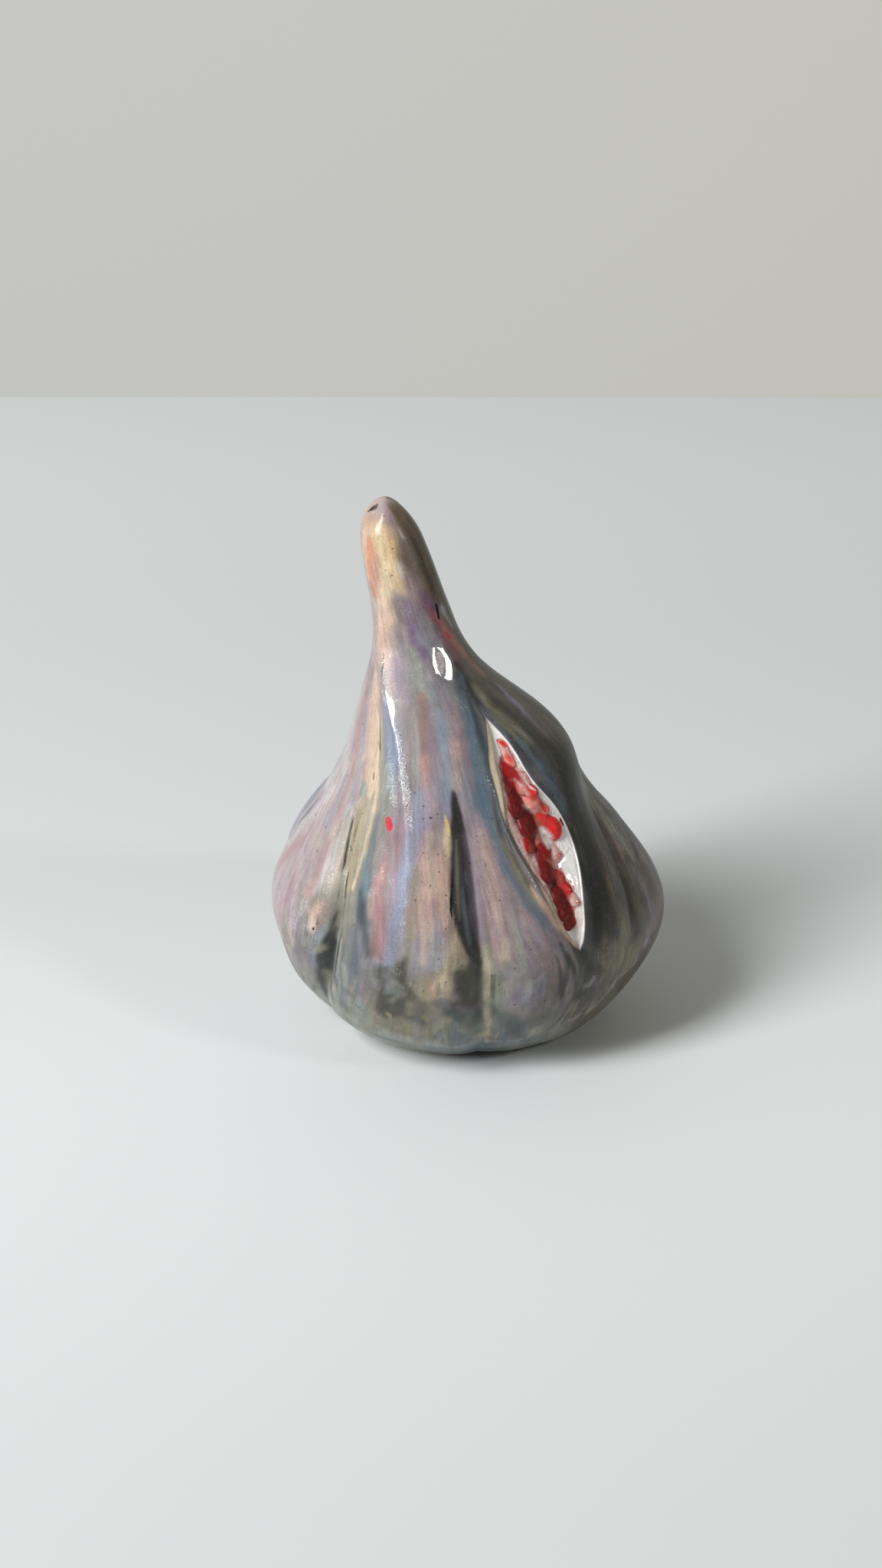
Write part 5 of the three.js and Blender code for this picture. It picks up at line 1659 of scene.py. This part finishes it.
TABLE_FAR_EDGE = 0.229
TABLE_NEAR_EDGE = -6.0
TABLE_HALF_WIDTH = 5.0
TABLE_THICKNESS = 0.02
TABLE_TINT = (0.975, 1.0, 0.99)
# Darkest and lightest of the table's soft blots, as shares of its tone
TABLE_BLOTS = (0.99, 1.02)

# Light from all around: how it grows in x, y and z, its least strength, its tints, and between
# which directions from left to right it turns from one to the other
ROOM_LIGHT_SLANT = (-0.08, 0.43, 0.03)
LEAST_ROOM_LIGHT = 0.02
ROOM_TINT_LEFT = (0.98, 1.0, 1.0)
ROOM_TINT_RIGHT = (1.0, 0.98, 0.80)
ROOM_TINT_TURNS = (-0.4, 0.6)

# Both lamps: turn around the fig, elevation, the height that they face, width and height
WINDOW = {"turn": -55.2, "elevation": 38.04, "facing": 0.03, "size": (0.30, 0.62)}
SIDE_LAMP = {"turn": 60.4, "elevation": 32.9, "facing": 0.045, "size": (0.12, 0.16)}
WINDOW_COLOUR = (0.96, 0.975, 1.0)
LAMP_DISTANCE = 1.0


def table_material(stage):
    material, shader = new_material("table_white")
    place = shader.place()
    low, high = (grey(stage.table_tone * share) for share in TABLE_BLOTS)
    colour = shader.scaled(shader.mix(shader.noise(place, 3.0, 2.0), low, high), TABLE_TINT)
    # Painted light and shade on the table: palest just in front of the fig, where it lightens the
    # fig's own shadow, and at the far edge, and darkest towards the camera
    away = shader.coordinate(place, 1)
    painted_light_and_shade = away.step(-0.13, -0.02) * 0.14 - away.step(-0.02, 0.06) * 0.06
    painted_light_and_shade = painted_light_and_shade + away.step(0.1, 0.2) * 0.07 + 0.91
    shader.surface({"Base Color": shader.dimmed(colour, painted_light_and_shade), "Roughness": 0.6, "IOR": 1.3})
    return material


def make_table(stage):
    half = TABLE_HALF_WIDTH
    near = TABLE_NEAR_EDGE
    far = TABLE_FAR_EDGE
    corners = [(-half, near), (half, near), (half, far), (-half, far)]
    points = [(x, y, z) for z in (-TABLE_THICKNESS, 0.0) for x, y in corners]
    faces = [(3, 2, 1, 0), (4, 5, 6, 7)]
    faces += [(side, (side + 1) % 4, (side + 1) % 4 + 4, side + 4) for side in range(4)]
    mesh = bpy.data.meshes.new("table_top")
    mesh.from_pydata(points, [], faces)
    mesh.materials.append(table_material(stage))
    table = place_object("table_top", mesh)


def make_room_light(stage):
    """Soft light from all around, strongest from behind the fig and warmer from the right."""
    world = bpy.data.worlds.new("soft_room_light")
    world.use_nodes = True
    bpy.context.scene.world = world
    shader = Shader(world.node_tree)
    towards = shader.node("ShaderNodeTexCoord", {}, {}, 0)
    slant = shader.vector("DOT_PRODUCT", {0: towards, 1: ROOM_LIGHT_SLANT}, 1)
    strength = (slant + stage.room_light).at_least(LEAST_ROOM_LIGHT)
    rightness = shader.coordinate(towards, 0).step(*ROOM_TINT_TURNS)
    tint = shader.mix(rightness, opaque(ROOM_TINT_LEFT), opaque(ROOM_TINT_RIGHT))
    background = shader.node("ShaderNodeBackground", {}, {"Color": tint, "Strength": strength})
    shader.node("ShaderNodeOutputWorld", {}, {"Surface": background})


def make_lamp(name, energy, turn, elevation, facing, size):
    data = bpy.data.lights.new(name, "AREA")
    data.shape = "RECTANGLE"
    data.size, data.size_y = size
    data.energy = energy
    lamp = place_object(name, data)
    towards = Vector(direction(turn, elevation))
    lamp.location = Vector((0, 0, facing)) + towards * LAMP_DISTANCE
    lamp.rotation_euler = towards.to_track_quat("Z", "Y").to_euler()
    return data


def make_lamps(stage):
    """A tall window at the left, and a small lamp at the right for the small highlights."""
    window = make_lamp("window", stage.window_power, **WINDOW)
    window.color = WINDOW_COLOUR
    make_lamp("side_lamp", stage.side_lamp_power, **SIDE_LAMP)


def make_camera():
    data = bpy.data.cameras.new("camera")
    data.sensor_fit = "AUTO"
    data.angle = math.radians(CAMERA_VIEW_ANGLE)
    data.clip_start = CAMERA_CLIP_START
    camera = place_object("camera", data)
    back = Vector(direction(0, CAMERA_ELEVATION))
    camera.location = Vector(CAMERA_TARGET) + back * CAMERA_DISTANCE
    camera.rotation_euler = (math.radians(90 - CAMERA_ELEVATION), 0, 0)
    bpy.context.scene.camera = camera


# Add-on

class FigLook(bpy.types.PropertyGroup):
    """Sizes and colours of the fig's pieces."""

    hand_relief: bpy.props.FloatProperty(
        name="Hand relief", description="How strongly finger marks show in the clay",
        default=1.0, min=0, max=2)
    glaze_relief: bpy.props.FloatProperty(
        name="Glaze relief", description="Depth of the grain in the glaze",
        default=0.00002, min=0, max=0.0002, unit="LENGTH", precision=6)
    roughness: bpy.props.FloatProperty(
        name="Roughness", description="Roughness of the painted layer", default=0.36, min=0, max=1)
    hair_contrast: bpy.props.FloatProperty(
        name="Brush hairs", description="Contrast of the brush hairs in the paint",
        default=1.1, min=0, max=2)
    tint_contrast: bpy.props.FloatProperty(
        name="Tints", description="How much the tint changes from hair to hair",
        default=0.12, min=0, max=1)
    grain_contrast: bpy.props.FloatProperty(
        name="Grain", description="Contrast of the grain in the paint", default=0.6, min=0, max=2)
    flesh_colour: bpy.props.FloatVectorProperty(
        name="Flesh", description="Pale pink shade of the flesh", subtype="COLOR",
        default=(0.80, 0.69, 0.65), min=0, max=1)
    seed_colour: bpy.props.FloatVectorProperty(
        name="Seeds", description="Main red of the seeds", subtype="COLOR",
        default=(0.42, 0.025, 0.03), min=0, max=1)


class FigStage(bpy.types.PropertyGroup):
    """Tone of the table and strength of the lights."""

    table_tone: bpy.props.FloatProperty(
        name="Table tone", description="Brightness of the table top", default=0.74, min=0, max=1)
    room_light: bpy.props.FloatProperty(
        name="Room light", description="Strength of the light from all around",
        default=0.155, min=0, max=2)
    window_power: bpy.props.FloatProperty(
        name="Window power", description="Power of the window's light",
        default=12.2, min=0, unit="POWER")
    side_lamp_power: bpy.props.FloatProperty(
        name="Side lamp power", description="Power of the small lamp on the right",
        default=1.3, min=0, unit="POWER")


class FIG_OT_skin(bpy.types.Operator):
    """Build the lobed and painted skin with the open split"""

    bl_idname = "fig.skin"
    bl_label = "Painted skin"

    def execute(self, context):
        made = build_skin(context.scene.fig_look)
        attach(made, "root")
        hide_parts("fig_body")
        return {"FINISHED"}


class FIG_OT_flesh(bpy.types.Operator):
    """Build the white flesh that lines the split"""

    bl_idname = "fig.flesh"
    bl_label = "White flesh"

    def execute(self, context):
        made = build_flesh(context.scene.fig_look)
        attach(made, "root")
        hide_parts("split_flesh")
        return {"FINISHED"}


class FIG_OT_seeds(bpy.types.Operator):
    """Build the red seeds in the split"""

    bl_idname = "fig.seeds"
    bl_label = "Red seeds"

    def execute(self, context):
        made = build_seeds(context.scene.fig_look)
        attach(made, "root")
        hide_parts("seed_cluster")
        return {"FINISHED"}


class FIG_OT_stage(bpy.types.Operator):
    """Build the table top, the lights and the camera"""

    bl_idname = "fig.stage"
    bl_label = "Table, light and camera"

    def execute(self, context):
        stage = context.scene.fig_stage
        make_table(stage)
        make_room_light(stage)
        make_lamps(stage)
        make_camera()
        context.scene.view_settings.view_transform = "Standard"
        return {"FINISHED"}


class FIG_PT_panel(bpy.types.Panel):
    """Lists the pieces and what can be changed on them"""

    bl_idname = "FIG_PT_panel"
    bl_label = "Ceramic fig"
    bl_space_type = "VIEW_3D"
    bl_region_type = "UI"
    bl_category = "Fig"

    def draw(self, context):
        for settings in (context.scene.fig_look, context.scene.fig_stage):
            for name in settings.__annotations__:
                self.layout.prop(settings, name)
        for operator in OPERATORS:
            self.layout.operator(operator.bl_idname)


OPERATORS = (FIG_OT_skin, FIG_OT_flesh, FIG_OT_seeds, FIG_OT_stage)
CLASSES = (FigLook, FigStage, *OPERATORS, FIG_PT_panel)


def register():
    for one in CLASSES:
        bpy.utils.register_class(one)
    bpy.types.Scene.fig_look = bpy.props.PointerProperty(type=FigLook)
    bpy.types.Scene.fig_stage = bpy.props.PointerProperty(type=FigStage)


def unregister():
    del bpy.types.Scene.fig_stage
    del bpy.types.Scene.fig_look
    for one in reversed(CLASSES):
        bpy.utils.unregister_class(one)


def main():
    register()
    bpy.ops.fig.skin()
    bpy.ops.fig.flesh()
    bpy.ops.fig.seeds()
    bpy.ops.fig.stage()


if __name__ == "__main__":
    main()
